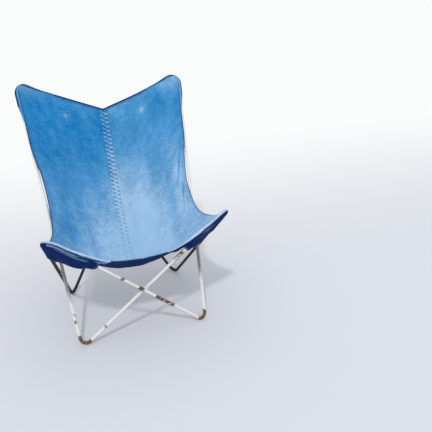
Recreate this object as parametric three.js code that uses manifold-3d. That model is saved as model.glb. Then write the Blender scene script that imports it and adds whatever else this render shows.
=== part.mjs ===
// Butterfly sling chair: two bent rod loops are welded where they cross.
// They carry a sewn cloth sling on their four tips.
// Millimetres, +Z up, with the front toward -Y. Left is -X, as seen from the front.
import * as THREE from 'three';
import { mergeVertices } from 'three/addons/utils/BufferGeometryUtils.js';
import Module from 'manifold-3d';

const wasm = await Module();
wasm.setup();
const mix = THREE.MathUtils.lerp;

// Frame sizes. A work point is where two straight legs would meet if the bend between them were sharp.
const ROD = 12.7;
const TIP_BEND = 38;
const FOOT_BEND = 26;
const TIP_OUT = 340;
const FRONT_TIP = { out: TIP_OUT, back: -375, up: 535 };
const BACK_TIP = { out: TIP_OUT, back: 299, up: 973 };
const FRONT_FOOT = { out: 251, back: -300 };
const BACK_FOOT = { back: 99 };
const SIDE_GAP = 1.9;
const FOOT_WEAR = 0.5;
const JOINT_SHARE = 0.24;
const BEAD = 5;
const BUTT_BEAD = 1.1;
const GAP = 0.3;

// Sling sizes: the middle line from the front edge to the top edge, and the free side edge between the tips.
// A place of the side edge is measured from the leg beside it, at its own height.
// The first and last places only ease the edge toward its tip, at a share of the rise that is left.
// High on the back the sling has drifted to the left, where its loose edge stands out past the rod.
const CLOTH = 2;
const FRONT_SAG = { behind: 25, below: 169 };
const TOP_SAG = { ahead: 33, below: 206 };
const HEM_SAG = { out: 125, behind: 24, below: 152 };
const FRONT_MIDDLE = { back: FRONT_TIP.back + FRONT_SAG.behind, up: FRONT_TIP.up - FRONT_SAG.below };
const TOP_MIDDLE = { back: BACK_TIP.back - TOP_SAG.ahead, up: BACK_TIP.up - TOP_SAG.below };
const FRONT_HEM = { ...HEM_SAG, back: FRONT_TIP.back + HEM_SAG.behind, up: FRONT_TIP.up - HEM_SAG.below };
const SEAT_LOW = { back: -110, up: 212 };
const SEAT_BACK = { back: 60, up: 362 };
const LUMBAR = { back: 165, up: 540 };
const SIDE_LOW = { inside: 28.8, behind: 150.1, up: 413 };
const SIDE_FRONT = { inside: 9.7, behind: 49.7, up: mix(SIDE_LOW.up, FRONT_TIP.up, 0.14) };
const SIDE_WAIST = { inside: 11.5, behind: -5, up: 482 };
const SIDE_BACK = { inside: 11.5, behind: -6, up: 582 };
const SIDE_HIGH = { inside: 5, behind: -23, up: mix(SIDE_BACK.up, BACK_TIP.up, 0.21) };
const HIGH_DRIFT = 4;
const TOP_HEM_SAG = { left: 1, right: 5 };
const BACK_SIDE_RUN = 120;
const FRONT_HEM_RUN = 51;
const RUN_RISE = 4;
const BACK_RUN_OUT = { left: 6, right: 0 };
const CLOSING_RUN = 62;

// Sewing sizes.
const TAPE = 1;
const POCKET_CLEAR = 4;
const BAND_WIDTH = 34;
const BAND = 1.2;
const STITCH_PITCH = 18;
const STITCH_WIDTH = 3;
const STITCH_HEIGHT = 1.1;
const STITCH_INSET = 6;
const BARTACK = { length: 14, width: 4, thickness: 1, out: 158, below: 66 };
const FOLD_DEPTH = { left: 2, right: 5 };
const FOLD_WIDTH = 0.09;

// Angles about the rod where a pocket's roll ends and its wrap starts: open on the rod, closed past it.
const ROLL_END = { open: -0.35, closed: -Math.PI / 2 };
const WRAP_START = { open: -0.7, closed: 0.9 };

// Mesh counts.
const ROD_SIDES = 14;
const BEND_STEPS = 10;
const ROWS = 32;
const COLUMNS = 16;
const BACK_POCKET_STATIONS = 9;
const FRONT_POCKET_STATIONS = 12;
const FRONT_POCKET_ROWS = 9;
const ROLL_STEPS = 5;
const WRAP_STEPS = 3;

// Distances from a rod's axis to the middle of cloth that lies on it.
const LIFT = ROD / 2 + GAP + CLOTH / 2;
const CLOSED_LIFT = CLOTH / 2 + GAP;

const vec = (x, y, z) => new THREE.Vector3(x, y, z);
const unit = (from, to) => to.clone().sub(from).normalize();
const along = (from, direction, distance) => from.clone().addScaledVector(direction, distance);
const sideName = (side) => (side < 0 ? 'left' : 'right');
const atSide = (place, side) => vec(side * place.out, place.back, place.up);

// Bends and loops of the frame.

// The bend between two legs that run from a corner.
// Its axes lie in the plane of the legs: tipward, and across from leg a to leg b.
function bendAt(corner, endA, endB, radius) {
  const a = unit(corner, endA);
  const b = unit(corner, endB);
  const half = a.angleTo(b) / 2;
  const inward = a.clone().add(b).normalize();
  const centre = along(corner, inward, radius / Math.sin(half));
  const across = unit(a, b);
  return { a, b, half, centre, radius, tipward: inward.negate(), across, turn: Math.PI / 2 - half };
}

function bendDirection(bend, angle) {
  return bend.tipward.clone().multiplyScalar(Math.cos(angle)).addScaledVector(bend.across, Math.sin(angle));
}

function bendPoint(bend, angle) {
  return along(bend.centre, bendDirection(bend, angle), bend.radius);
}

// A foot's work point. The underside of its bend reaches just below the floor, to be worn flat there.
function footCorner(foot, tipA, tipB) {
  const corner = vec(foot.out, foot.back, 0);
  for (let pass = 0; pass < 6; pass += 1) {
    const bend = bendAt(corner, tipA, tipB, FOOT_BEND);
    const drop = FOOT_BEND * Math.hypot(bend.tipward.z, bend.across.z);
    corner.z -= bend.centre.z - drop - ROD / 2 + FOOT_WEAR;
  }
  return corner;
}

const rightFrontTip = atSide(FRONT_TIP, 1);
const rightBackTip = atSide(BACK_TIP, 1);
const mirrored = (point) => vec(-point.x, point.y, point.z);
const rightFrontFoot = footCorner(FRONT_FOOT, rightBackTip, mirrored(rightFrontTip));

// How far the leg up to the front tip passes outside the leg up to the back tip.
function sidePassing(backFoot) {
  const inner = unit(rightFrontFoot, rightBackTip);
  const outer = unit(backFoot, rightFrontTip);
  const outward = outer.clone().cross(inner).normalize();
  if (outward.x < 0) outward.negate();
  return backFoot.clone().sub(rightFrontFoot).dot(outward);
}

// The back feet stand as far out as lets the legs just pass each other where they cross at the sides.
function backFootCorner() {
  let out = FRONT_FOOT.out;
  let corner;
  for (let pass = 0; pass < 30; pass += 1) {
    corner = footCorner({ out, back: BACK_FOOT.back }, rightFrontTip, mirrored(rightBackTip));
    out += ROD + SIDE_GAP - sidePassing(corner);
  }
  return corner;
}

const rightBackFoot = backFootCorner();

// One loop stands a rod further forward than the other, so that the two just clear where they cross.
const frontLean = Math.atan2(FRONT_FOOT.back - FRONT_TIP.back, FRONT_TIP.up - rightFrontFoot.z);
const backLean = Math.atan2(BACK_TIP.back - BACK_FOOT.back, BACK_TIP.up - rightBackFoot.z);
const NEST = (ROD + GAP) / Math.cos(Math.max(Math.abs(frontLean), Math.abs(backLean)));

// The four corners of the loop whose back tip is on the given side.
function loopCorners(side) {
  const shift = vec(0, (-side * NEST) / 2, 0);
  const place = (right, onSide) => (onSide > 0 ? right.clone() : mirrored(right)).add(shift);
  return {
    backTip: place(rightBackTip, side),
    frontFoot: place(rightFrontFoot, side),
    frontTip: place(rightFrontTip, -side),
    backFoot: place(rightBackFoot, -side),
  };
}

const loops = { left: loopCorners(-1), right: loopCorners(1) };

// A path that keeps its own stations, so that straight legs need no steps and bends have enough.
class StationPath extends THREE.Curve {
  constructor(stations) {
    super();
    this.stations = stations;
  }

  station(t) {
    return this.stations[Math.round(t * (this.stations.length - 1))];
  }

  getPoint(t) {
    return this.station(t).point.clone();
  }

  getPointAt(t) {
    return this.getPoint(t);
  }

  getTangentAt(t) {
    return this.station(t).tangent.clone();
  }
}

function rodAlong(stations, radius) {
  const circle = new THREE.Shape().absarc(0, 0, radius, 0, 2 * Math.PI, false);
  const options = { bevelEnabled: false, curveSegments: ROD_SIDES / 2, steps: stations.length - 1 };
  return new THREE.ExtrudeGeometry(circle, { ...options, extrudePath: new StationPath(stations) });
}

function straightRod(from, to, radius) {
  const tangent = unit(from, to);
  return rodAlong([{ point: from, tangent }, { point: to, tangent }], radius);
}

function bendStations(bend) {
  const stations = [];
  for (let step = 0; step <= BEND_STEPS; step += 1) {
    const angle = mix(-bend.turn, bend.turn, step / BEND_STEPS);
    stations.push({ point: bendPoint(bend, angle), tangent: bendDirection(bend, angle + Math.PI / 2) });
  }
  return stations;
}

// Where the two ends of a loop's rod meet, part of the way up its rear leg.
function jointOf(corners) {
  const point = corners.backFoot.clone().lerp(corners.backTip, JOINT_SHARE);
  return { point, direction: unit(corners.backFoot, corners.backTip) };
}

function loopStations(corners) {
  const { backTip, frontFoot, frontTip, backFoot } = corners;
  const joint = jointOf(corners);
  const bends = [
    bendAt(backTip, backFoot, frontFoot, TIP_BEND),
    bendAt(frontFoot, backTip, frontTip, FOOT_BEND),
    bendAt(frontTip, frontFoot, backFoot, TIP_BEND),
    bendAt(backFoot, frontTip, backTip, FOOT_BEND),
  ];
  const start = { point: along(joint.point, joint.direction, GAP), tangent: joint.direction };
  const end = { point: along(joint.point, joint.direction, -GAP), tangent: joint.direction };
  return [start, ...bends.flatMap(bendStations), end];
}

// Solids: joined vertices, no empty triangles, faces outward.

function signedVolume(positions, index) {
  const corner = (k) => vec().fromBufferAttribute(positions, index[k]);
  let sum = 0;
  for (let k = 0; k < index.length; k += 3) {
    sum += corner(k).dot(corner(k + 1).cross(corner(k + 2)));
  }
  return sum / 6;
}

function closedSolid(geometry) {
  const bare = geometry.clone();
  bare.deleteAttribute('normal');
  bare.deleteAttribute('uv');
  const merged = mergeVertices(bare, 1e-3);
  const index = [];
  for (let k = 0; k < merged.index.count; k += 3) {
    const corners = [merged.index.getX(k), merged.index.getX(k + 1), merged.index.getX(k + 2)];
    if (new Set(corners).size === 3) index.push(...corners);
  }
  if (signedVolume(merged.attributes.position, index) < 0) index.reverse();
  merged.setIndex(index);
  return merged;
}

function toManifold(geometry) {
  const solid = closedSolid(geometry);
  const vertProperties = new Float32Array(solid.attributes.position.array);
  const triVerts = new Uint32Array(solid.index.array);
  return new wasm.Manifold(new wasm.Mesh({ numProp: 3, vertProperties, triVerts }));
}

function cutFrom(geometry, ...cutters) {
  const left = cutters.reduce((solid, cutter) => solid.subtract(toManifold(cutter)), toManifold(geometry));
  const mesh = left.getMesh();
  const result = new THREE.BufferGeometry();
  result.setAttribute('position', new THREE.BufferAttribute(new Float32Array(mesh.vertProperties), 3));
  result.setIndex(Array.from(mesh.triVerts));
  return result;
}

// Builds a geometry from triangles given as triples of points.
function fromTriangles(triangles) {
  const positions = triangles.flatMap((triangle) => triangle.flatMap((point) => [point.x, point.y, point.z]));
  const geometry = new THREE.BufferGeometry();
  geometry.setAttribute('position', new THREE.Float32BufferAttribute(positions, 3));
  return geometry;
}

// Two triangles on four corners in order, split along the shorter diagonal.
function quad(a, b, c, d) {
  return a.distanceTo(c) <= b.distanceTo(d) ? [[a, b, c], [a, c, d]] : [[a, b, d], [b, c, d]];
}

// A skin through rings of points, closed at both ends by the triangles of the end cap.
function loft(rings, cap) {
  const triangles = [];
  const count = rings[0].length;
  for (let r = 0; r + 1 < rings.length; r += 1) {
    for (let k = 0; k < count; k += 1) {
      const next = (k + 1) % count;
      triangles.push(...quad(rings[r][k], rings[r][next], rings[r + 1][next], rings[r + 1][k]));
    }
  }
  const last = rings[rings.length - 1];
  cap.forEach(([a, b, c]) => {
    triangles.push([rings[0][c], rings[0][b], rings[0][a]]);
    triangles.push([last[a], last[b], last[c]]);
  });
  return fromTriangles(triangles);
}

// End cap of a ring whose first half runs out and whose second half runs back.
function foldedCap(count) {
  const triangles = [];
  for (let k = 0; k < count / 2 - 1; k += 1) {
    triangles.push([k, k + 1, count - 2 - k], [k, count - 2 - k, count - 1 - k]);
  }
  return triangles;
}

function loftFolded(rings) {
  return loft(rings, foldedCap(rings[0].length));
}

// Frame nodes.

function frameLoop(corners) {
  const floor = new THREE.BoxGeometry(4 * TIP_OUT, 4 * TIP_OUT, FOOT_BEND).translate(0, 0, -FOOT_BEND / 2);
  return cutFrom(rodAlong(loopStations(corners), ROD / 2), floor);
}

function buttWeld(corners) {
  const joint = jointOf(corners);
  const ring = new THREE.TorusGeometry(ROD / 2 + GAP + 1.1 * BUTT_BEAD, BUTT_BEAD, 8, 24);
  ring.applyQuaternion(new THREE.Quaternion().setFromUnitVectors(vec(0, 0, 1), joint.direction));
  return ring.translate(joint.point.x, joint.point.y, joint.point.z);
}

// The point between two legs that rise past each other, and the line of the nooks that hold the weld beads.
// The nooks are beside the crossing where it is level, and above and below it otherwise.
function crossing([legA, legB], level) {
  const a = unit(...legA);
  const b = unit(...legB);
  const between = legB[0].clone().sub(legA[0]);
  const normal = a.clone().cross(b).normalize();
  const reach = between.clone().cross(b).dot(a.clone().cross(b)) / a.clone().cross(b).lengthSq();
  const point = along(legA[0], a, reach).addScaledVector(normal, between.dot(normal) / 2);
  const nook = level ? a.clone().sub(b) : a.clone().add(b);
  return { point, nook: nook.normalize(), spread: nook.angleTo(a) };
}

function weldBead({ legs, level }, end) {
  const { point, nook, spread } = crossing(legs, level);
  const place = along(point, nook, (end * BEAD) / Math.sin(spread));
  const bead = new THREE.SphereGeometry(BEAD, 14, 10).translate(place.x, place.y, place.z);
  const cutters = legs.map((leg) => straightRod(...leg, ROD / 2 + GAP));
  return cutFrom(bead, ...cutters);
}

const { left, right } = loops;
const crossings = {
  front: { level: true, legs: [[left.frontFoot, left.frontTip], [right.frontFoot, right.frontTip]] },
  back: { level: false, legs: [[left.backFoot, left.backTip], [right.backFoot, right.backTip]] },
  left: { level: false, legs: [[left.frontFoot, left.backTip], [right.backFoot, right.frontTip]] },
  right: { level: false, legs: [[right.frontFoot, right.backTip], [left.backFoot, left.frontTip]] },
};

// Tips that carry the sling. Leg a leaves along the hem, leg b along the side, and the normal faces the seat.
function tipAt(corner, hemEnd, sideEnd) {
  const bend = bendAt(corner, hemEnd, sideEnd, TIP_BEND);
  const normal = bend.tipward.clone().cross(bend.across).normalize();
  const toSeat = vec(0, SEAT_BACK.back, SEAT_BACK.up).sub(bend.centre);
  if (normal.dot(toSeat) < 0) normal.negate();
  return { ...bend, normal };
}

function backTip(side) {
  const loop = loops[sideName(side)];
  return tipAt(loop.backTip, loop.backFoot, loop.frontFoot);
}

function frontTip(side) {
  const loop = loops[sideName(-side)];
  return tipAt(loop.frontTip, loop.frontFoot, loop.backFoot);
}

// A point of the sling's edge where it lies on the rod at an angle round a tip.
function edgeOnTip(tip, angle) {
  return along(bendPoint(tip, angle), tip.normal, LIFT);
}

// The angle round a tip where an edge stretched from a place on the hem's side first touches the bend.
function angleOfTouch(tip, place) {
  const offset = place.clone().sub(tip.centre);
  const ahead = offset.dot(tip.tipward);
  const aside = offset.dot(tip.across);
  const touch = Math.atan2(aside, ahead) + Math.acos(tip.radius / Math.hypot(ahead, aside));
  return THREE.MathUtils.clamp(touch, -tip.turn, 0);
}

// Points of the edge along a leg, from the far end in to the tip's bend.
// The far end stands off the rod, and out past it.
function edgeOnLeg(tip, angle, leg, run, out) {
  const start = edgeOnTip(tip, angle);
  const outward = bendDirection(tip, angle);
  return [1, 0.5, 0].map((share) => {
    const onRod = along(start, leg, share * run);
    return along(along(onRod, tip.normal, RUN_RISE * share ** 2), outward, out * share ** 2);
  });
}

// The nearest point of the rod's axis at a tip, and the direction out of the loop there.
function rodNear(tip, point, onSide) {
  const offset = point.clone().sub(tip.centre);
  const angle = Math.atan2(offset.dot(tip.across), offset.dot(tip.tipward));
  const limit = onSide ? tip.turn : -tip.turn;
  if (Math.abs(angle) <= tip.turn) return { axis: bendPoint(tip, angle), outward: bendDirection(tip, angle) };
  const start = bendPoint(tip, limit);
  const leg = onSide ? tip.b : tip.a;
  const run = Math.max(0, point.clone().sub(start).dot(leg));
  return { axis: along(start, leg, run), outward: bendDirection(tip, limit) };
}

// A place of the side edge, from the leg that rises beside it at that height.
function besideLeg(place, foot, tip, side) {
  const leg = foot.clone().lerp(tip, (place.up - foot.z) / (tip.z - foot.z));
  return vec(side * (leg.x - place.inside), leg.y + place.behind, place.up);
}

function smoothCurve(points) {
  const curve = new THREE.CatmullRomCurve3(points);
  curve.arcLengthDivisions = 600;
  return curve;
}

// Half of the sling as a surface.
// u runs from the middle to the side edge, and v from the front edge to the top edge.
function halfSling(side) {
  const back = backTip(side);
  const front = frontTip(side);
  const middlePlaces = [FRONT_MIDDLE, SEAT_LOW, SEAT_BACK, LUMBAR, TOP_MIDDLE];
  const middle = smoothCurve(middlePlaces.map((place) => vec(0, place.back, place.up)));
  const topMiddle = vec(0, TOP_MIDDLE.back, TOP_MIDDLE.up);
  const topTouch = angleOfTouch(back, topMiddle);
  const topHalfway = topMiddle.clone().lerp(edgeOnTip(back, topTouch), 0.55);
  topHalfway.z -= TOP_HEM_SAG[sideName(side)];
  const round = (tip, shares) => shares.map((share) => edgeOnTip(tip, share * tip.turn));
  const topEnd = [1, 2 / 3, 1 / 3, 0].map((share) => edgeOnTip(back, share * topTouch));
  const top = smoothCurve([topMiddle, topHalfway, ...topEnd]);
  const frontMiddle = vec(0, FRONT_MIDDLE.back, FRONT_MIDDLE.up);
  const hemRun = edgeOnLeg(front, -front.turn, front.a, FRONT_HEM_RUN, 0);
  const hemEnd = [...hemRun, ...round(front, [-0.75, -0.5, -0.25, 0])];
  const hem = smoothCurve([frontMiddle, atSide(FRONT_HEM, side), ...hemEnd]);
  const onFrontLeg = (place) => besideLeg(place, rightBackFoot, rightFrontTip, side);
  const onBackLeg = (place) => besideLeg(place, rightFrontFoot, rightBackTip, side);
  const frontPlaces = [SIDE_FRONT, SIDE_LOW].map(onFrontLeg);
  const sideHigh = { ...SIDE_HIGH, inside: SIDE_HIGH.inside + side * HIGH_DRIFT };
  const backPlaces = [SIDE_WAIST, SIDE_BACK, sideHigh].map(onBackLeg);
  const backRun = edgeOnLeg(back, back.turn, back.b, BACK_SIDE_RUN, BACK_RUN_OUT[sideName(side)]);
  const edgeStart = round(front, [0, 0.25, 0.5, 0.75, 1]);
  const edgeEnd = [...backRun, ...round(back, [0.75, 0.5, 0.25, 0])];
  const edge = smoothCurve([...edgeStart, ...frontPlaces, ...backPlaces, ...edgeEnd]);
  const corners = [0, 1].map((v) => ({ inner: middle.getPointAt(v), outer: edge.getPointAt(v) }));
  const foldDepth = FOLD_DEPTH[sideName(side)];

  const spread = (from, to, u) =>
    vec(mix(from.x, to.x, u), mix(from.y, to.y, u * u), mix(from.z, to.z, u * u));

  function plain(u, v) {
    const point = spread(middle.getPointAt(v), edge.getPointAt(v), u);
    const hemPull = hem.getPointAt(u).sub(spread(corners[0].inner, corners[0].outer, u));
    const topPull = top.getPointAt(u).sub(spread(corners[1].inner, corners[1].outer, u));
    return point.addScaledVector(hemPull, (1 - v) ** 3).addScaledVector(topPull, v ** 3);
  }

  // Long soft folds beside the free side edge, dying out toward the edge and toward the tips.
  function foldAt(u, v) {
    const across = THREE.MathUtils.smoothstep(u, 0.7, 0.85) * (1 - THREE.MathUtils.smoothstep(u, 0.9, 1));
    const along01 = THREE.MathUtils.smoothstep(v, 0.35, 0.55) * (1 - THREE.MathUtils.smoothstep(v, 0.7, 0.9));
    return foldDepth * across * along01 * Math.sin((2 * Math.PI * (u - 0.7)) / FOLD_WIDTH);
  }

  function plainNormal(u, v) {
    const step = 0.004;
    const uu = THREE.MathUtils.clamp(u, step, 0.985);
    const vv = THREE.MathUtils.clamp(v, 0.01, 0.99);
    const du = plain(uu + step, vv).sub(plain(uu - step, vv));
    const dv = plain(uu, vv + step).sub(plain(uu, vv - step));
    const normal = du.cross(dv).multiplyScalar(side).normalize();
    return u === 0 ? normal.setX(0).normalize() : normal;
  }

  function pointAt(u, v, lift = 0) {
    const point = along(plain(u, v), plainNormal(u, v), foldAt(u, v) + lift);
    if (u === 0) point.x = (side * GAP) / 2;
    return point;
  }

  return { side, back, front, top, topTouch, hem, edge, middle, pointAt };
}

const halves = { left: halfSling(-1), right: halfSling(1) };

// Rows crowd toward both ends and columns toward the side edge, where the tips need them.
const rowAt = (k) => (1 - Math.cos((Math.PI * k) / ROWS)) / 2;
const columnAt = (k) => Math.sin((Math.PI * k) / (2 * COLUMNS));
const rowValues = Array.from({ length: ROWS + 1 }, (_, k) => rowAt(k));
const columnValues = Array.from({ length: COLUMNS + 1 }, (_, k) => columnAt(k));

function slingPanel(half) {
  const rings = rowValues.map((v) => {
    const upper = columnValues.map((u) => half.pointAt(u, v, CLOTH / 2));
    const lower = columnValues.map((u) => half.pointAt(u, v, -CLOTH / 2));
    return [...upper, ...lower.reverse()];
  });
  return loftFolded(rings);
}

// Corner pockets. Each rolls round the rod from the sling's edge and closes across behind the tip.

// The panel's row at a pocket's station. A front pocket takes fewer rows of the side than it has stations.
function pocketRow(isBack, k) {
  return rowAt(isBack ? k : (k * FRONT_POCKET_ROWS) / FRONT_POCKET_STATIONS);
}

// Edge points at a station, counted from the tip outward along the hem and along the side.
function pocketEdge(half, isBack, k) {
  const row = pocketRow(isBack, k);
  return {
    hem: half.pointAt(columnAt(COLUMNS - k), isBack ? 1 : 0),
    side: half.pointAt(1, isBack ? 1 - row : row),
  };
}

// One cross-section of a pocket: the roll from the edge, then the wrap behind the rod.
// Where the edge has left the rod, the roll closes to a fold and the wrap alone passes round the rod.
function pocketSection(tip, edgePoint, onSide, lift) {
  const { axis, outward } = rodNear(tip, edgePoint, onSide);
  const normal = tip.normal;
  const outAt = (angle) =>
    outward.clone().multiplyScalar(Math.cos(angle)).addScaledVector(normal, Math.sin(angle));
  const rollCentre = along(along(edgePoint, normal, -lift), outward, 5 * GAP);
  const openness = (lift - CLOSED_LIFT) / (LIFT - CLOSED_LIFT);
  const lastAngle = mix(ROLL_END.closed, ROLL_END.open, openness);
  const wrapAngle = mix(WRAP_START.closed, WRAP_START.open, openness);
  const section = [];
  for (let step = 0; step <= ROLL_STEPS; step += 1) {
    const angle = mix(Math.PI / 2, lastAngle, step / ROLL_STEPS);
    const out = outAt(angle);
    section.push({ point: along(rollCentre, out, lift), out });
  }
  const behind = LIFT + 4 * GAP;
  for (let step = 0; step <= WRAP_STEPS; step += 1) {
    const out = outAt(mix(wrapAngle, -Math.PI / 2, step / WRAP_STEPS));
    section.push({ point: along(axis, out, behind), out });
  }
  const middle = along(tip.centre, normal, -behind);
  return { section, behindRod: along(axis, normal, -behind), middle };
}

function pocketSolid(half, isBack, stations, slack) {
  const tip = isBack ? half.back : half.front;
  const hemLength = isBack ? half.top.getLength() : half.hem.getLength();
  const rolledOn = tip.turn * TIP_BEND;
  const heldOnHem = isBack ? -half.topTouch * TIP_BEND : rolledOn + FRONT_HEM_RUN;
  const heldOnSide = isBack ? rolledOn + BACK_SIDE_RUN : rolledOn;
  const closing = (run, held) => THREE.MathUtils.smoothstep(run, held, held + CLOSING_RUN);
  const liftAt = (run, held) => mix(LIFT, CLOSED_LIFT, closing(run, held));
  const lines = [];
  for (let k = 0; k <= stations; k += 1) {
    const edge = pocketEdge(half, isBack, k);
    const hemRun = (1 - columnAt(COLUMNS - k)) * hemLength;
    const sideRun = pocketRow(isBack, k) * half.edge.getLength();
    const hem = pocketSection(tip, edge.hem, false, liftAt(hemRun, heldOnHem));
    const sideLine = pocketSection(tip, edge.side, true, liftAt(sideRun, heldOnSide));
    const onBend = Math.min(hemRun, sideRun) < rolledOn;
    const middle = onBend ? hem.middle : hem.behindRod.clone().add(sideLine.behindRod).multiplyScalar(0.5);
    lines.push({ hem, side: sideLine, middle, share: k / stations });
  }
  const finish = (line, part) => {
    const back = tip.normal.clone().negate();
    const inner = [1 / 3, 2 / 3, 1].map((share) => {
      const wave = slack * line.share * (share + 0.4 * Math.sin(9 * share) * (1 - share));
      return { point: along(part.behindRod.clone().lerp(line.middle, share), back, wave), out: back };
    });
    return [...part.section, ...inner];
  };
  const hemLines = lines.map((line) => finish(line, line.hem));
  const sideLines = lines.map((line) => finish(line, line.side));
  return pocketSkin([...hemLines.slice(1).reverse(), ...sideLines]);
}

// Inner and outer skins over the sections, with rims along the edge and at the mouth.
// The sections share their middle line, so the skin closes on itself there.
function pocketSkin(sections) {
  const outer = sections.map((section) => section.map(({ point, out }) => along(point, out, CLOTH / 2)));
  const inner = sections.map((section) => section.map(({ point, out }) => along(point, out, -CLOTH / 2)));
  const triangles = [];
  for (let k = 0; k + 1 < sections.length; k += 1) {
    for (let j = 0; j + 1 < sections[k].length; j += 1) {
      triangles.push(...quad(outer[k][j], outer[k][j + 1], outer[k + 1][j + 1], outer[k + 1][j]));
      triangles.push(...quad(inner[k][j], inner[k + 1][j], inner[k + 1][j + 1], inner[k][j + 1]));
    }
    triangles.push(...quad(outer[k][0], outer[k + 1][0], inner[k + 1][0], inner[k][0]));
  }
  const last = sections.length - 1;
  for (let j = 0; j + 1 < sections[0].length; j += 1) {
    triangles.push(...quad(outer[0][j], inner[0][j], inner[0][j + 1], outer[0][j + 1]));
    triangles.push(...quad(outer[last][j], outer[last][j + 1], inner[last][j + 1], inner[last][j]));
  }
  return fromTriangles(triangles);
}

// Edge binding: tape folded over the panel's last two cells, as a channel that clears the cloth.
function bindingRing(half, [inner, near, edge]) {
  const out = unit(half.pointAt(inner.u, inner.v), half.pointAt(edge.u, edge.v));
  const fold = (lift, reach) => {
    const at = (place, height) => half.pointAt(place.u, place.v, height);
    const over = [at(inner, lift), at(near, lift), along(at(edge, lift), out, reach)];
    const under = [along(at(edge, -lift), out, reach), at(near, -lift), at(inner, -lift)];
    return [...over, ...under];
  };
  const clear = CLOTH / 2 + 2 * GAP;
  return [...fold(clear + TAPE, GAP + TAPE), ...fold(clear, GAP).reverse()];
}

// A ring moved a distance toward its neighbour, along the straight step between them.
function movedRing(ring, neighbour, distance) {
  const share = distance / ring[0].distanceTo(neighbour[0]);
  return ring.map((point, k) => point.clone().lerp(neighbour[k], share));
}

function hemBinding(half, isTop, stations) {
  const rows = [2, 1, 0].map((k) => (isTop ? rowAt(ROWS - k) : rowAt(k)));
  const columns = columnValues.slice(0, COLUMNS - stations + 1);
  const rings = columns.map((u) => bindingRing(half, rows.map((v) => ({ u, v }))));
  const last = rings.length - 1;
  rings[last] = movedRing(rings[last], rings[last - 1], POCKET_CLEAR);
  return loftFolded(rings);
}

function sideBinding(half) {
  const columns = [2, 1, 0].map((k) => columnAt(COLUMNS - k));
  const rows = rowValues.slice(FRONT_POCKET_ROWS, ROWS - BACK_POCKET_STATIONS + 1);
  const rings = rows.map((v) => bindingRing(half, columns.map((u) => ({ u, v }))));
  const last = rings.length - 1;
  rings[0] = movedRing(rings[0], rings[1], POCKET_CLEAR);
  rings[last] = movedRing(rings[last], rings[last - 1], POCKET_CLEAR);
  return loftFolded(rings);
}

// Centre seam: the folded band over the joint of the two panels, with raised stitches near each edge.
const seamEnd = 1.25 * rowAt(2);
const seamRows = [seamEnd, ...rowValues.filter((v) => v > 2 * seamEnd && v < 1 - 2 * seamEnd), 1 - seamEnd];

// A point beside the seam, at a distance from the middle, lifted off the cloth.
function besideSeam(offset, v, lift) {
  const half = offset < 0 ? halves.left : halves.right;
  const u = Math.abs(offset) / Math.abs(half.edge.getPointAt(v).x);
  const point = half.pointAt(u, v, lift);
  if (offset === 0) point.x = 0;
  return point;
}

function seamBand() {
  const offsets = [-1, -0.5, 0, 0.5, 1].map((share) => (share * BAND_WIDTH) / 2);
  const under = CLOTH / 2 + 1.5 * GAP;
  const rings = seamRows.map((v) => {
    const upper = offsets.map((offset) => besideSeam(offset, v, under + BAND));
    const lower = offsets.map((offset) => besideSeam(offset, v, under));
    return [...upper, ...lower.reverse()];
  });
  return loftFolded(rings);
}

function seamStitching(side) {
  const base = CLOTH / 2 + BAND + 2.5 * GAP;
  const reach = side * (BAND_WIDTH / 2 - STITCH_INSET);
  const edges = [reach - STITCH_WIDTH / 2, reach + STITCH_WIDTH / 2];
  const lineAt = (offset, lift) => seamRows.map((v) => besideSeam(offset, v, lift));
  const lowLines = edges.map((offset) => lineAt(offset, base));
  const highLines = edges.map((offset) => lineAt(offset, base + STITCH_HEIGHT));
  const length = halves.left.middle.getLength();
  const count = 2 * Math.round(length / STITCH_PITCH);
  const rings = [];
  for (let k = 1; k < count; k += 1) {
    const v = mix(seamRows[0], seamRows[seamRows.length - 1], k / count);
    const row = Math.max(0, seamRows.findLastIndex((value) => value <= v));
    const share = (v - seamRows[row]) / (seamRows[row + 1] - seamRows[row]);
    const at = (line) => line[row].clone().lerp(line[row + 1], share);
    const low = lowLines.map(at);
    const high = highLines.map(at);
    const height = k % 2 ? 1 : 0.3;
    const crest = low.map((point, i) => point.clone().lerp(high[i], height));
    rings.push([crest[0], crest[1], low[1], low[0]]);
  }
  return loft(rings, [[0, 1, 2], [0, 2, 3]]);
}

// Bartack: a short raised bar of stitches on the face, where a back pocket's mouth meets the sling.
function bartack(half) {
  const v = 1 - BARTACK.below / half.edge.getLength();
  const u = BARTACK.out / Math.abs(half.edge.getPointAt(v).x);
  const base = CLOTH / 2 + 2 * GAP;
  const du = BARTACK.length / 2 / half.top.getLength();
  const dv = BARTACK.width / 2 / half.edge.getLength();
  const row = (vv) => [
    half.pointAt(u - du, vv, base + BARTACK.thickness),
    half.pointAt(u + du, vv, base + BARTACK.thickness),
    half.pointAt(u + du, vv, base),
    half.pointAt(u - du, vv, base),
  ];
  return loftFolded([row(v - dv), row(v + dv)]);
}

// The finished group, moved so that the middle of the box's underside is the origin.
const paint = { color: 0xe9e6df, roughness: 0.5, metalness: 0 };
const weldPaint = { color: 0x9a6a48, roughness: 0.8, metalness: 0 };
const fadedCloth = { color: 0x4f8fc8, roughness: 0.9, metalness: 0 };
const darkCloth = { color: 0x22386b, roughness: 0.9, metalness: 0 };
const paleCloth = { color: 0x86b0dc, roughness: 0.9, metalness: 0 };

const chair = new THREE.Group();
chair.name = 'butterfly_sling_chair';

function addNode(name, geometry, finish) {
  const mesh = new THREE.Mesh(closedSolid(geometry), new THREE.MeshStandardMaterial(finish));
  mesh.name = name;
  mesh.geometry.computeVertexNormals();
  chair.add(mesh);
}

for (const [name, corners] of Object.entries(loops)) {
  addNode(`frame_loop_${name}`, frameLoop(corners), paint);
  addNode(`butt_weld_${name}`, buttWeld(corners), weldPaint);
}

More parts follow.
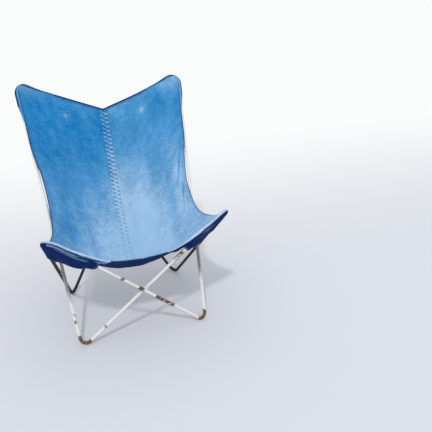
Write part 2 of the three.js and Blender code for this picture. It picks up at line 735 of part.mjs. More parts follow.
for (const [name, place] of Object.entries(crossings)) {
  const [one, other] = place.level ? ['right', 'left'] : ['upper', 'lower'];
  addNode(`weld_${name}_${one}`, weldBead(place, 1), weldPaint);
  addNode(`weld_${name}_${other}`, weldBead(place, -1), weldPaint);
}

for (const [name, half] of Object.entries(halves)) {
  const frontSlack = name === 'left' ? 9 : 5;
  addNode(`sling_panel_${name}`, slingPanel(half), fadedCloth);
  addNode(`back_pocket_${name}`, pocketSolid(half, true, BACK_POCKET_STATIONS, 3), darkCloth);
  addNode(`front_pocket_${name}`, pocketSolid(half, false, FRONT_POCKET_STATIONS, frontSlack), darkCloth);
  addNode(`top_binding_${name}`, hemBinding(half, true, BACK_POCKET_STATIONS), darkCloth);
  addNode(`front_binding_${name}`, hemBinding(half, false, FRONT_POCKET_STATIONS), paleCloth);
  addNode(`side_binding_${name}`, sideBinding(half), darkCloth);
  addNode(`seam_stitching_${name}`, seamStitching(half.side), paleCloth);
  addNode(`bartack_${name}`, bartack(half), paleCloth);
}
addNode('seam_band', seamBand(), paleCloth);

const box = new THREE.Box3().setFromObject(chair);
const middle = box.getCenter(vec());
chair.children.forEach((mesh) => mesh.geometry.translate(-middle.x, -middle.y, -box.min.z));

export default chair;
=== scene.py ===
"""Butterfly sling chair: a sewn canvas sling on crossed loops of bent rod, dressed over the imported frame."""
import math

import bmesh
import bpy
import numpy as np
from bpy.props import FloatProperty, FloatVectorProperty, PointerProperty
from bpy.types import Operator, Panel, PropertyGroup
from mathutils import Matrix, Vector


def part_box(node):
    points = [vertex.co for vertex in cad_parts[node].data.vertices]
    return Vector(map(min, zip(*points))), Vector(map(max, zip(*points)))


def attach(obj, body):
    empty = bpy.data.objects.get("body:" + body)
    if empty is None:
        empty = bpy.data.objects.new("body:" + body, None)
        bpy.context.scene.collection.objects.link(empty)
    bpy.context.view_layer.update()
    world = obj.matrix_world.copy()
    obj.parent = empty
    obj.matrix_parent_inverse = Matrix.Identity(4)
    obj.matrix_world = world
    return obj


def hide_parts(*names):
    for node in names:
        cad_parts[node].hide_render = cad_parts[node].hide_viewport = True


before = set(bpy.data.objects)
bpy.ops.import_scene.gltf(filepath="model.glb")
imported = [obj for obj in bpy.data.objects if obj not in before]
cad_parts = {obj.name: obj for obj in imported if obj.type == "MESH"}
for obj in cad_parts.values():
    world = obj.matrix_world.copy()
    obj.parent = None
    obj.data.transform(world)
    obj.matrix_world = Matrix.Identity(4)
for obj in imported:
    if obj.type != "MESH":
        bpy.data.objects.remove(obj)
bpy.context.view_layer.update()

bl_info = {
    "name": "Butterfly sling chair",
    "version": (1, 0, 0),
    "blender": (4, 5, 0),
    "location": "3D View > Sidebar > Sling chair",
    "description": "Dresses a bent-rod lounge frame with its sewn canvas sling",
    "category": "Object",
}

SIDES = {"left": -1, "right": 1}

# Mesh counts.
ROD_SIDES = 28
BEND_STEPS = 14
LEG_CUTS = 30
BEAD_SIDES = 18
BEAD_RIPPLES = 12
RING_SIDES = (48, 10)
CURVE_STEPS = 120
PANEL_ROWS = 400
PANEL_COLUMNS = 64
POCKET_STATIONS = 64
ROLL_STEPS = 12
FACE_STEPS = 36
WRAP_STEPS = 10
INNER_STEPS = 12
BINDING_STATIONS = 150
OVER_STEPS = 5
NOSE_STEPS = 7
SEAM_ROWS = 640
SEAM_COLUMNS = 20
BARTACK_STITCHES = 8

# The solids' own grid, which says where pockets and bindings start and end.
GRID_ROWS = 32
GRID_COLUMNS = 16
BACK_STATIONS = 9
FRONT_STATIONS = 12
FRONT_ROWS = 9
BINDING_CELLS = 2

# Where the left and the right front pocket end along the hem, in stations, a little past the solids'.
FRONT_HEM_END = (12.5, 13.4)

# Shares of a pocket's half by which its mouth is cut back on a slant. A pair is for left and right.
BACK_SLANT = 0.25
FRONT_SLANT = (0.09, 0.13)

# Rounds in which a foot comes to its height, and a back foot to its clearance.
HEIGHT_ROUNDS = 6
CLEARANCE_ROUNDS = 30

# A place on the seat. Each tip's normal points to its side.
SEAT_SIDE = (0, 0.06, 0.362)

# The sling's half width and its length, roughly, from which the distance to a tip is told.
ABOUT_HALF_WIDTH = 0.34
ABOUT_LENGTH = 1.15

# Creases beside the right edge: heights of their start, middle and end, and places across there, as shares.
CREASES = (((0.42, 0.53, 0.70), (0.83, 0.90, 0.96)), ((0.32, 0.43, 0.50), (0.85, 0.93, 0.955)))
CREASE_WIDTH = 0.013
CREASE_DEPTH = 0.0015

# How far the puckers of the seam lean from its middle to its edge, as a share of the stitch pitch.
SEAM_LEAN = 0.55


# Properties.

def length(label, text, default):
    return FloatProperty(name=label, description=text, default=default, unit="LENGTH", precision=4)


def place(label, text, default):
    return FloatVectorProperty(name=label, description=text, default=default, size=len(default),
                               unit="LENGTH", precision=4)


def share(label, text, default):
    return FloatProperty(name=label, description=text, default=default, subtype="FACTOR", min=0, max=1)


def linear(step):
    """The linear value of a screen colour's step from 0 to 255."""
    value = step / 255
    return value / 12.92 if value <= 0.04045 else ((value + 0.055) / 1.055) ** 2.4


def colour(label, text, steps):
    default = [linear(step) for step in steps]
    return FloatVectorProperty(name=label, description=text, default=default, size=3,
                               subtype="COLOR", min=0, max=1)


class FrameSizes(PropertyGroup):
    """Sizes of the two rod loops. A corner is where two straight legs would meet if the bend were sharp."""

    rod: length("Rod", "Thickness of the round rod", 0.0127)
    gap: length("Gap", "Clearance between neighbouring pieces", 0.0003)
    tip_bend: length("Tip bend", "Radius of the rod's axis round a tip", 0.038)
    foot_bend: length("Foot bend", "Radius of the rod's axis round a foot", 0.026)
    tip_out: length("Tips out", "Distance of the tip corners from the middle", 0.340)
    front_tip: place("Front tip", "Front tip corner: back and up", (-0.375, 0.535))
    back_tip: place("Back tip", "Back tip corner: back and up", (0.299, 0.973))
    front_foot: place("Front foot", "Front foot corner: out and back", (0.251, -0.300))
    back_foot: length("Back foot", "Back foot corner: back", 0.099)
    side_gap: length("Side gap", "Clearance of the legs where they cross at the sides", 0.0019)
    foot_wear: length("Foot wear", "Depth worn off under each foot", 0.0005)
    joint_share: share("Joint", "Where the rod's ends meet, as a share of the rear leg", 0.24)
    bead: length("Weld bead", "Radius of a weld bead at a crossing", 0.005)
    butt_bead: length("Butt bead", "Radius of the bead round the rod's joint", 0.0011)


class SlingSizes(PropertyGroup):
    """Sizes of the sling: its middle line, its hems and its free side edges."""

    cloth: length("Cloth", "Thickness of the canvas", 0.002)
    front_sag: place("Front sag", "Front edge's middle: behind and below the front tips", (0.025, 0.169))
    top_sag: place("Top sag", "Top edge's middle: ahead of and below the back tips", (0.033, 0.206))
    hem_sag: place("Hem sag", "Place on the front hem: out, behind and below the tip", (0.125, 0.024, 0.152))
    seat_low: place("Seat low", "Lowest place of the seat: back and up", (-0.110, 0.212))
    seat_back: place("Seat back", "Where the seat turns up: back and up", (0.060, 0.362))
    lumbar: place("Lumbar", "Middle of the back: back and up", (0.165, 0.540))
    side_low: place("Side low", "Side edge at its lowest: inside, behind, up", (0.0288, 0.1501, 0.413))
    side_front: place("Side front", "Side edge near the front tip: inside and behind", (0.0097, 0.0497))
    side_waist: place("Side waist", "Side edge at the waist: inside, behind, up", (0.0115, -0.005, 0.482))
    side_back: place("Side back", "Side edge at the back: inside, behind, up", (0.0115, -0.006, 0.582))
    side_high: place("Side high", "Side edge near the back tip: inside and behind", (0.005, -0.023))
    high_drift: length("High drift", "Drift of the sling to the left, high on the back", 0.004)
    side_front_rise: share("Front rise", "Share of the rise to the front tip", 0.14)
    side_high_rise: share("High rise", "Share of the rise to the back tip", 0.21)
    top_hem_sag: place("Top hem sag", "Sag of the left and the right top hem halfway out", (0.001, 0.005))
    back_run: length("Back run", "Length of side edge that lies on the leg below a back tip", 0.120)
    hem_run: length("Hem run", "Length of front hem that lies on the leg below a front tip", 0.051)
    run_rise: length("Run rise", "How far the edge has left the rod at the end of a run", 0.004)
    back_run_out: place("Run out", "How far the left and right edges stand out below a tip", (0.006, 0))
    closing_run: length("Closing run", "Length over which a pocket's roll closes to a fold", 0.062)


class SewingSizes(PropertyGroup):
    """Sizes of the seam, stitches, bindings and folds."""

    tape: length("Tape", "Thickness of the edge binding", 0.001)
    pocket_clear: length("Pocket clearance", "Distance from a binding's end to its pocket", 0.004)
    band_width: length("Seam width", "Width of the centre seam", 0.034)
    band: length("Seam height", "Thickness of the centre seam", 0.0012)
    pucker: length("Pucker", "Height of the puckers between stitches", 0.0017)
    stitch_pitch: length("Stitch pitch", "Distance from stitch to stitch", 0.018)
    stitch: place("Stitch", "Length, width and height of a stitch", (0.0105, 0.0042, 0.0020))
    stitch_inset: length("Stitch inset", "Distance of the stitches from the seam's edge", 0.0075)
    bartack: place("Bartack", "Length, width and thickness of a bartack", (0.014, 0.004, 0.001))
    bartack_place: place("Bartack place", "Bartack's distance from the seam and the top", (0.158, 0.066))
    fold: place("Folds", "Depth of the fold beside the left and the right edge", (0.0015, 0.0045))
    front_slack: place("Front slack", "Sag of the left and the right front pocket", (0.009, 0.005))
    back_slack: length("Back slack", "Sag of the back pockets", 0.003)
    front_lip: length("Front lip", "Thickness of the front pockets' rolled hem at its mouth", 0.0064)
    lip_width: place("Lip width", "Width of the left and right front hems' rubbed lip", (0.0085, 0.0115))


class ChairColours(PropertyGroup):
    """Colours of the cloth, the thread, the rods and the floor."""

    deep: colour("Deep blue", "Least faded canvas of the back", (24, 132, 200))
    washed: colour("Washed blue", "Canvas at the usual fading", (92, 163, 214))
    bleached: colour("Bleached blue", "Most faded canvas of the seat", (172, 208, 238))
    # Navy also darkens the seam's grooves and a line inside the front hems as painted shade.
    navy: colour("Navy", "Unfaded canvas of the pockets and the underside", (10, 42, 100))
    # This pale colour also lightens the pockets' wrinkles and the seam's gathers as painted highlight.
    worn: colour("Worn", "Rubbed places of the canvas", (210, 225, 245))
    thread: colour("Thread", "Stitches where they are dark", (22, 62, 124))
    pale_thread: colour("Pale thread", "Stitches where they are bleached", (130, 172, 220))
    paint: colour("Paint", "White paint of the rods", (240, 240, 237))
    # A cool grey that mostly stands for the sling's painted shadow on the front legs, and for dirty paint with
    # painted shade on the back legs.
    soot_and_shade: colour("Soot", "Dirty paint of the legs under the sling", (112, 117, 125))
    rust: colour("Rust", "Bare rusty rod", (134, 98, 74))
    dark_rust: colour("Dark rust", "Oldest rust", (74, 62, 55))
    # Near black: dirt on the back feet and their legs, darkened further as painted shade.
    dirt_and_shade: colour("Dirt", "Dark dirt of the back feet and their legs", (22, 20, 21))
    floor: colour("Floor", "Pale floor", (226, 229, 236))


# Geometry of the frame, repeated from the solids' own driving sizes.

def unit(vectors):
    """A vector, or each vector of an array, at length 1."""
    return vectors / np.linalg.norm(vectors, axis=-1, keepdims=True)


def mix(a, b, part):
    return a + (b - a) * part


def smooth(value, low, high):
    """Smooth step from 0 at low to 1 at high."""
    part = np.clip((value - low) / (high - low), 0, 1)
    return part * part * (3 - 2 * part)


def plateau(value, rise, fall):
    """1 between two smooth steps, up over the rise and down over the fall. Each is a low and a high."""
    return smooth(value, *rise) * (1 - smooth(value, *fall))


def hump(distance, width):
    """1 at no distance, falling smoothly to about a third at the width."""
    return np.exp(-((distance / width) ** 2))


def run_along(points, axis):
    """The distance run along one axis of an array of points, from 0 at its start."""
    first = np.take(points, [0], axis=axis)
    steps = np.linalg.norm(np.diff(points, axis=axis, prepend=first), axis=-1)
    return np.cumsum(steps, axis=axis)


def mirrored(point):
    return point * np.array([-1, 1, 1])


def bend_at(corner, end_a, end_b, radius):
    """The bend between two legs that run from a corner, with its axes in the plane of the legs."""
    a = unit(end_a - corner)
    b = unit(end_b - corner)
    half = math.acos(float(np.dot(a, b))) / 2
    inward = unit(a + b)
    centre = corner + inward * radius / math.sin(half)
    return {"a": a, "b": b, "centre": centre, "radius": radius, "tipward": -inward, "across": unit(b - a),
            "turn": math.pi / 2 - half}


def bend_direction(bend, angle):
    return bend["tipward"] * math.cos(angle) + bend["across"] * math.sin(angle)


def bend_point(bend, angle):
    return bend["centre"] + bend_direction(bend, angle) * bend["radius"]


def angle_of_touch(tip, point):
    """The angle round a tip where an edge drawn from a point on the hem's side first touches the bend."""
    offset = point - tip["centre"]
    ahead = float(offset @ tip["tipward"])
    aside = float(offset @ tip["across"])
    touch = math.atan2(aside, ahead) + math.acos(tip["radius"] / math.hypot(ahead, aside))
    return min(0.0, max(-tip["turn"], touch))


class FramePlan:
    """Corners and bends of the two loops. Each loop is named for the side of its back tip."""

    def __init__(self, sizes):
        self.sizes = sizes
        self.front_tip = np.array([sizes.tip_out, *sizes.front_tip])
        self.back_tip = np.array([sizes.tip_out, *sizes.back_tip])
        self.front_foot = self.foot_corner(*sizes.front_foot, self.back_tip, mirrored(self.front_tip))
        self.back_foot = self.back_foot_corner()
        front_rise = self.front_tip - self.front_foot
        back_rise = self.back_tip - self.back_foot
        lean = max(abs(math.atan2(rise[1], rise[2])) for rise in (front_rise, back_rise))
        self.nest = (sizes.rod + sizes.gap) / math.cos(lean)
        self.shift = np.zeros(3)
        low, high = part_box("butt_weld_left")
        self.shift = np.array((low + high) / 2) - self.joint("left")[0]

    def foot_corner(self, out, back, tip_a, tip_b):
        """A foot's corner, with the underside of its bend just below the floor."""
        corner = np.array([out, back, 0.0])
        for _ in range(HEIGHT_ROUNDS):
            bend = bend_at(corner, tip_a, tip_b, self.sizes.foot_bend)
            drop = self.sizes.foot_bend * math.hypot(bend["tipward"][2], bend["across"][2])
            corner[2] -= bend["centre"][2] - drop - self.sizes.rod / 2 + self.sizes.foot_wear
        return corner

    def side_passing(self, back_foot):
        """How far the leg up to the front tip passes outside the leg up to the back tip."""
        inner = unit(self.back_tip - self.front_foot)
        outer = unit(self.front_tip - back_foot)
        outward = unit(np.cross(outer, inner))
        outward = outward * math.copysign(1, outward[0])
        return float(np.dot(back_foot - self.front_foot, outward))

    def back_foot_corner(self):
        """The back feet stand as far out as lets the legs just pass each other at the sides."""
        out = self.sizes.front_foot[0]
        for _ in range(CLEARANCE_ROUNDS):
            corner = self.foot_corner(out, self.sizes.back_foot, self.front_tip, mirrored(self.back_tip))
            out += self.sizes.rod + self.sizes.side_gap - self.side_passing(corner)
        return corner

    def corner(self, name, loop, crossed):
        """A corner of a loop. A crossed corner lies on the other side than the loop's back tip."""
        side = SIDES[loop]
        point = getattr(self, name)
        placed = point if side * (-1 if crossed else 1) > 0 else mirrored(point)
        return placed + np.array([0, -side * self.nest / 2, 0]) + self.shift

    def corners(self, loop):
        """Corners in the order in which the rod runs: back tip, front foot, front tip, back foot."""
        names = [("back_tip", False), ("front_foot", False), ("front_tip", True), ("back_foot", True)]
        return [self.corner(name, loop, crossed) for name, crossed in names]

    def joint(self, loop):
        """Where the two ends of the rod meet on the rear leg, and the leg's direction."""
        back_tip, _, _, back_foot = self.corners(loop)
        return mix(back_foot, back_tip, self.sizes.joint_share), unit(back_tip - back_foot)

    def bends(self, loop):
        corners = self.corners(loop)
        radii = [self.sizes.tip_bend, self.sizes.foot_bend] * 2
        return [bend_at(corners[k], corners[k - 1], corners[(k + 1) % 4], radii[k]) for k in range(4)]

    def crossings(self):
        """Pairs of legs that cross, by place, and whether the nooks lie beside the crossing."""
        legs = {}
        for loop in SIDES:
            back_tip, front_foot, front_tip, back_foot = self.corners(loop)
            legs[loop] = {"front": (front_foot, front_tip), "back": (back_foot, back_tip),
                          "own": (front_foot, back_tip), "crossed": (back_foot, front_tip)}
        left, right = legs["left"], legs["right"]
        return {
            "front": (left["front"], right["front"], True),
            "back": (left["back"], right["back"], False),
            "left": (left["own"], right["crossed"], False),
            "right": (right["own"], left["crossed"], False),
        }

    def tip(self, side, is_back):
        """A tip that carries the sling: leg a leaves along the hem, leg b along the side."""
        name = "left" if side * (1 if is_back else -1) < 0 else "right"
        back_tip, front_foot, front_tip, back_foot = self.corners(name)
        ends = (back_tip, back_foot, front_foot) if is_back else (front_tip, front_foot, back_foot)
        bend = bend_at(*ends, self.sizes.tip_bend)
        normal = unit(np.cross(bend["tipward"], bend["across"]))
        seat = np.array(SEAT_SIDE) + self.shift
        bend["normal"] = normal * math.copysign(1, float(np.dot(normal, seat - bend["centre"])))
        return bend


# Curves and the sling's surface.

class SmoothCurve:
    """An open smooth curve through points, read at shares of its length."""

    def __init__(self, points):
        points = np.array(points)
        ends = (2 * points[0] - points[1], 2 * points[-1] - points[-2])
        padded = np.vstack([ends[0], points, ends[1]])
        steps = np.linspace(0, 1, CURVE_STEPS + 1)[1:, None]
        rows = [points[:1]]
        for four in zip(padded, padded[1:], padded[2:], padded[3:]):
            rows.append(self.stretch(*four, steps))
        self.line = np.vstack(rows)
        run = run_along(self.line, 0)
        self.length = float(run[-1])
        self.shares = run / self.length

    @staticmethod
    def stretch(before, start, end, after, steps):
        """One stretch from start to end, with tangents that allow for uneven spacing."""
        run0, run1, run2 = (math.sqrt(np.linalg.norm(d)) for d in (start - before, end - start, after - end))
        first = (start - before) / run0 - (end - before) / (run0 + run1) + (end - start) / run1
        second = (end - start) / run1 - (after - start) / (run1 + run2) + (after - end) / run2
        first = first * run1
        second = second * run1
        square = -3 * start + 3 * end - 2 * first - second
        cube = 2 * start - 2 * end + first + second
        return start + first * steps + square * steps ** 2 + cube * steps ** 3

    def at(self, part):
        return np.stack([np.interp(part, self.shares, self.line[:, axis]) for axis in range(3)], axis=-1)


def row_at(k):
    """The v of a row of the solids' grid, crowded toward both ends."""
    return (1 - np.cos(np.pi * np.asarray(k) / GRID_ROWS)) / 2


def column_at(k):
    """The u of a column of the solids' grid, crowded toward the side edge."""
    return np.sin(np.pi * np.asarray(k) / (2 * GRID_COLUMNS))


def waves(seed, across, along):
    """A smooth repeatable unevenness between about -1 and 1, from a few crossed waves."""
    dice = np.random.default_rng(seed)
    count, usual_height = 6, 3.2
    total = 0
    for _ in range(count):
        angle, phase = dice.uniform(0, 2 * np.pi, 2)
        rate = dice.uniform(0.6, 1.6)
        total = total + np.sin(2 * np.pi * rate * (across * np.cos(angle) + along * np.sin(angle)) + phase)
    return total / usual_height


class HalfSling:
    """Half of the sling: u runs from the middle to the side edge, v from the front edge to the top edge."""

    def __init__(self, plan, sling, sewing, side):
        self.side = side
        self.plan = plan
        self.sling = sling
        self.sewing = sewing
        self.name = "left" if side < 0 else "right"
        self.back = plan.tip(side, True)
        self.front = plan.tip(side, False)
        self.lift = plan.sizes.rod / 2 + plan.sizes.gap + sling.cloth / 2
        self.fold_depth = self.own(sewing.fold)
        self.make_curves()

    def own(self, pair):
        """The left or the right value of a pair."""
        return pair[0 if self.side < 0 else 1]

    def reach(self, v):
        """How far out from the middle the side edge lies."""
        return np.abs(self.edge.at(v)[..., 0] - self.plan.shift[0])

    def spot(self, out, back, up):
        return np.array([self.side * out, back, up]) + self.plan.shift

    def beside_leg(self, inside, behind, up, foot, tip):
        """A place of the side edge, from the leg that rises beside it at that height."""
        leg = mix(foot, tip, (up - foot[2]) / (tip[2] - foot[2]))
        return self.spot(leg[0] - inside, leg[1] + behind, up)

    def edge_on_tip(self, tip, angle):
        return bend_point(tip, angle) + tip["normal"] * self.lift

    def round_tip(self, tip, shares):
        return [self.edge_on_tip(tip, part * tip["turn"]) for part in shares]

    def edge_on_leg(self, tip, angle, leg, run, out):
        """Points of the edge along a leg, in to the tip's bend. The far end stands off and past the rod."""
        start = self.edge_on_tip(tip, angle)
        off = tip["normal"] * self.sling.run_rise + bend_direction(tip, angle) * out
        return [start + leg * part * run + off * part ** 2 for part in (1, 0.5, 0)]

    def make_curves(self):
        sling, plan = self.sling, self.plan
        front_tip, back_tip = plan.sizes.front_tip, plan.sizes.back_tip
        front_middle = self.spot(0, front_tip[0] + sling.front_sag[0], front_tip[1] - sling.front_sag[1])
        top_middle = self.spot(0, back_tip[0] - sling.top_sag[0], back_tip[1] - sling.top_sag[1])
        hem_out, hem_behind, hem_below = sling.hem_sag
        hem_place = self.spot(hem_out, front_tip[0] + hem_behind, front_tip[1] - hem_below)
        seat = [self.spot(0, *where) for where in (sling.seat_low, sling.seat_back, sling.lumbar)]
        self.middle = SmoothCurve([front_middle, *seat, top_middle])

        back, front = self.back, self.front
        self.top_touch = angle_of_touch(back, top_middle)
        just_past_half = 0.55
        halfway = mix(top_middle, self.edge_on_tip(back, self.top_touch), just_past_half)
        halfway[2] -= self.own(sling.top_hem_sag)
        top_end = [self.edge_on_tip(back, part * self.top_touch) for part in (1, 2 / 3, 1 / 3, 0)]
        self.top = SmoothCurve([top_middle, halfway, *top_end])
        hem_run = self.edge_on_leg(front, -front["turn"], front["a"], sling.hem_run, 0)
        hem_end = self.round_tip(front, [-0.75, -0.5, -0.25, 0])
        self.hem = SmoothCurve([front_middle, hem_place, *hem_run, *hem_end])

        front_up = mix(sling.side_low[2], front_tip[1], sling.side_front_rise)
        high_up = mix(sling.side_back[2], back_tip[1], sling.side_high_rise)
        high_inside = sling.side_high[0] + self.side * sling.high_drift
        high_behind = sling.side_high[1]
        front_leg = (plan.back_foot, plan.front_tip)
        back_leg = (plan.front_foot, plan.back_tip)
        places = [
            self.beside_leg(*sling.side_front, front_up, *front_leg),
            self.beside_leg(*sling.side_low, *front_leg),
            self.beside_leg(*sling.side_waist, *back_leg),
            self.beside_leg(*sling.side_back, *back_leg),
            self.beside_leg(high_inside, high_behind, high_up, *back_leg),
        ]
        start = self.round_tip(front, [0, 0.25, 0.5, 0.75, 1])
        end = self.edge_on_leg(back, back["turn"], back["b"], sling.back_run, self.own(sling.back_run_out))
        end = end + self.round_tip(back, [0.75, 0.5, 0.25, 0])
        self.edge = SmoothCurve([*start, *places, *end])
        self.corners = [(self.middle.at(v), self.edge.at(v)) for v in (0.0, 1.0)]

    @staticmethod
    def spread(start, end, u):
        """Across from the middle to the edge: even in x, curving up in y and z."""
        part = np.stack([u, u * u, u * u], axis=-1)
        return start + (end - start) * part

    def plain(self, u, v):
        point = self.spread(self.middle.at(v), self.edge.at(v), u)
        hem_pull = self.hem.at(u) - self.spread(*self.corners[0], u)
        top_pull = self.top.at(u) - self.spread(*self.corners[1], u)
        return point + hem_pull * ((1 - v) ** 3)[..., None] + top_pull * (v ** 3)[..., None]

    def normal(self, u, v):
        """Direction off the cloth, toward the sitter. Close to the rims it is read a little further in."""
        step, side_rim, end_rim = 0.004, 0.985, 0.01
        near = np.clip(u, step, side_rim)
        level = np.clip(v, end_rim, 1 - end_rim)
        du = self.plain(near + step, level) - self.plain(near - step, level)
        dv = self.plain(near, level + step) - self.plain(near, level - step)
        normal = np.cross(du, dv) * self.side
        normal[..., 0] = np.where(u == 0, 0, normal[..., 0])
        return unit(normal)

    def side_folds(self, u, v):
        """A long soft fold beside the free side edge, dying out toward the edge and toward the tips."""
        across = plateau(u, (0.56, 0.68), (0.91, 0.99))
        along = plateau(v, (0.28, 0.42), (0.44, 0.72))
        drift = 0.02 * np.sin(9 * v) + 0.008 * np.sin(23 * v + 1)
        middle, width = 0.79, 0.31
        return self.fold_depth * across * along * np.sin(2 * np.pi * (u + drift - middle) / width)

    def creases(self, u, v):
        """Two sharp creases that run down beside the right edge into the seat, as a mask."""
        mask = np.zeros_like(u)
        if self.side < 0:
            return mask
        for heights, places in CREASES:
            run = plateau(v, heights[:2], heights[1:])
            mask = mask + run * hump(u - np.interp(v, heights, places), CREASE_WIDTH)
        return mask

    @staticmethod
    def fan(u, from_end, folds, turn, rise, fall):
        """Wrinkles that fan out from a tip at the side edge's end, shown between two distances from it."""
        out = (1 - u) * ABOUT_HALF_WIDTH
        down = from_end * ABOUT_LENGTH
        angle = np.arctan2(out, down + 1e-6)
        return np.sin(folds * angle + turn) * plateau(np.hypot(out, down), rise, fall)

    def strain(self, u, v):
        """Low wrinkles that fan out from the tips, and the general unevenness of washed canvas."""
        inner = smooth(1 - u, 0, 0.08) * smooth(v, 0, 0.05) * smooth(1 - v, 0, 0.05)
        back_fan = self.fan(u, 1 - v, 17, 2 * self.side, (0.03, 0.09), (0.12, 0.40))
        seat_fan = self.fan(u, v, 15, 0, (0.03, 0.10), (0.14, 0.42))
        uneven = waves(3 + self.side, u * 3.2, v * 9) + 0.5 * waves(8 + self.side, u * 8, v * 22)
        return inner * (0.0013 * back_fan + 0.0016 * seat_fan + 0.0011 * uneven)

    def at(self, u, v, lift=0.0):
        """A point of the made surface, lifted off the cloth's middle."""
        u, v = np.broadcast_arrays(np.asarray(u, float), np.asarray(v, float))
        height = self.side_folds(u, v) + self.strain(u, v) - CREASE_DEPTH * self.creases(u, v) + lift
        point = self.plain(u, v) + self.normal(u, v) * height[..., None]
        seam = self.plan.shift[0] + self.side * self.plan.sizes.gap / 2
        point[..., 0] = np.where(u == 0, seam, point[..., 0])
        return point


# Meshes.

def grid_faces(rows, columns, start=0):
    index = start + np.arange(rows * columns).reshape(rows, columns)
    corners = (index[:-1, :-1], index[:-1, 1:], index[1:, 1:], index[1:, :-1])
    return np.stack(corners, axis=-1).reshape(-1, 4)


def shell(upper, lower, closes_on_itself=False):
    """Points and faces of two sheets joined along their rims. The last column may close on itself."""
    rows, columns = upper.shape[:2]
    count = rows * columns
    index = np.arange(count).reshape(rows, columns)
    rims = [index[0], index[-1, ::-1], index[::-1, 0]]
    if not closes_on_itself:
        rims.append(index[:, -1])
    sides = []
    for rim in rims:
        here, there = rim[:-1], rim[1:]
        sides.append(np.stack([here, here + count, there + count, there], axis=-1))
    under = grid_faces(rows, columns, count)[:, ::-1]
    faces = np.vstack([grid_faces(rows, columns), under, *sides])
    points = np.vstack([upper.reshape(-1, 3), lower.reshape(-1, 3)])
    return points, outward(points, faces)


def outward(points, faces):
    """The faces of a closed mesh, turned so that they point out of it."""
    a, b, c, d = (points[faces[:, k]] for k in range(4))
    volume = (a * np.cross(b, c)).sum() + (a * np.cross(c, d)).sum()
    return faces if volume > 0 else faces[:, ::-1]


def twice(values):
    """Values of one sheet, for both sheets of a shell."""
    flat = np.asarray(values).reshape(-1, *np.shape(values)[2:])
    return np.concatenate([flat, flat])


def dress(obj, node, material):
    """Puts a finished piece in the place of its solid."""
    obj.data.materials.clear()
    obj.data.materials.append(material)
    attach(obj, "root")
    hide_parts(node)


def give_mask(obj, mask, values):
    """Keeps a value for each point of a piece, for its material to read."""
    attribute = obj.data.attributes.new(mask, "FLOAT", "POINT")
    attribute.data.foreach_set("value", np.asarray(values, np.float32).ravel())


def cloth_piece(name, points, faces, weave, **masks):
    """A mesh of cloth with its flat coordinates in metres and its masks."""
    mesh = bpy.data.meshes.new(name)
    mesh.from_pydata(points.tolist(), [], faces.tolist())
    obj = bpy.data.objects.new(name, mesh)
    bpy.context.scene.collection.objects.link(obj)
    corner = np.empty(len(mesh.loops), np.int32)
    mesh.loops.foreach_get("vertex_index", corner)
    layer = mesh.uv_layers.new(name="weave")
    layer.data.foreach_set("uv", weave[corner].astype(np.float32).ravel())
    for mask, values in masks.items():
        give_mask(obj, mask, values)
    merge_doubles(mesh)
    mesh.polygons.foreach_set("use_smooth", np.ones(len(mesh.polygons), bool))
    mesh.update()
    return obj


def merge_doubles(mesh):
    shape = bmesh.new()
    shape.from_mesh(mesh)
    bmesh.ops.remove_doubles(shape, verts=shape.verts, dist=1e-6)
    bmesh.ops.dissolve_degenerate(shape, edges=shape.edges, dist=1e-7)
    shape.to_mesh(mesh)
    shape.free()


def surface_area(sheet):
    """Area of a grid of points."""
    along = np.diff(sheet, axis=0)[:, :-1]
    across = np.diff(sheet, axis=1)[:-1]
    return float(np.linalg.norm(np.cross(along, across), axis=-1).sum())


# Modelling of the rigid pieces.

def start_modelling():
    if bpy.context.object and bpy.context.object.mode != "OBJECT":
        bpy.ops.object.mode_set(mode="OBJECT")
    bpy.ops.object.select_all(action="DESELECT")


def facing(direction):
    """The turn that takes +Z to a direction."""
    return Vector(direction).to_track_quat("Z", "Y").to_euler()


def settle():
    bpy.ops.object.transform_apply(location=True, rotation=True, scale=True)


def bent_rod(plan, loop):
    """One loop of rod: a circle is extruded along the legs, spun round the bends and closed at the joint."""
    joint, direction = plan.joint(loop)
    start_modelling()
    bpy.ops.mesh.primitive_circle_add(vertices=ROD_SIDES, radius=plan.sizes.rod / 2, location=joint,
                                      rotation=facing(direction))
    rod = bpy.context.object
    rod.name = f"frame_loop_{loop}_rod"
    settle()
    bpy.ops.object.mode_set(mode="EDIT")
    bpy.ops.mesh.select_mode(type="VERT")
    bpy.ops.mesh.select_all(action="SELECT")
    here = joint
    for bend in plan.bends(loop):
        begin = bend_point(bend, -bend["turn"])
        bpy.ops.mesh.extrude_region_move(TRANSFORM_OT_translate={"value": begin - here})
        axis = np.cross(bend["tipward"], bend["across"])
        bpy.ops.mesh.spin(steps=BEND_STEPS, angle=-2 * bend["turn"], center=bend["centre"], axis=axis)
        here = bend_point(bend, bend["turn"])
    check_ring(rod, here)
    bpy.ops.mesh.select_all(action="DESELECT")
    bpy.ops.mesh.select_non_manifold(extend=False)
    bpy.ops.mesh.bridge_edge_loops()
    cut_legs(rod)
    bpy.ops.mesh.select_all(action="SELECT")
    bpy.ops.mesh.normals_make_consistent(inside=False)
    bpy.ops.mesh.bisect(plane_co=(0, 0, 0), plane_no=(0, 0, 1), use_fill=True, clear_inner=True)
    bpy.ops.object.mode_set(mode="OBJECT")
    bpy.ops.object.shade_smooth_by_angle(angle=math.radians(40))
    return rod


def check_ring(rod, wanted):
    """Stops the script if the selected ring isn't where the last bend ends."""
    rod.update_from_editmode()
    chosen = np.array([vertex.co for vertex in rod.data.vertices if vertex.select])
    if np.linalg.norm(chosen.mean(axis=0) - wanted) > 1e-4:
        raise RuntimeError(f"{rod.name}: the rod did not follow its bends")


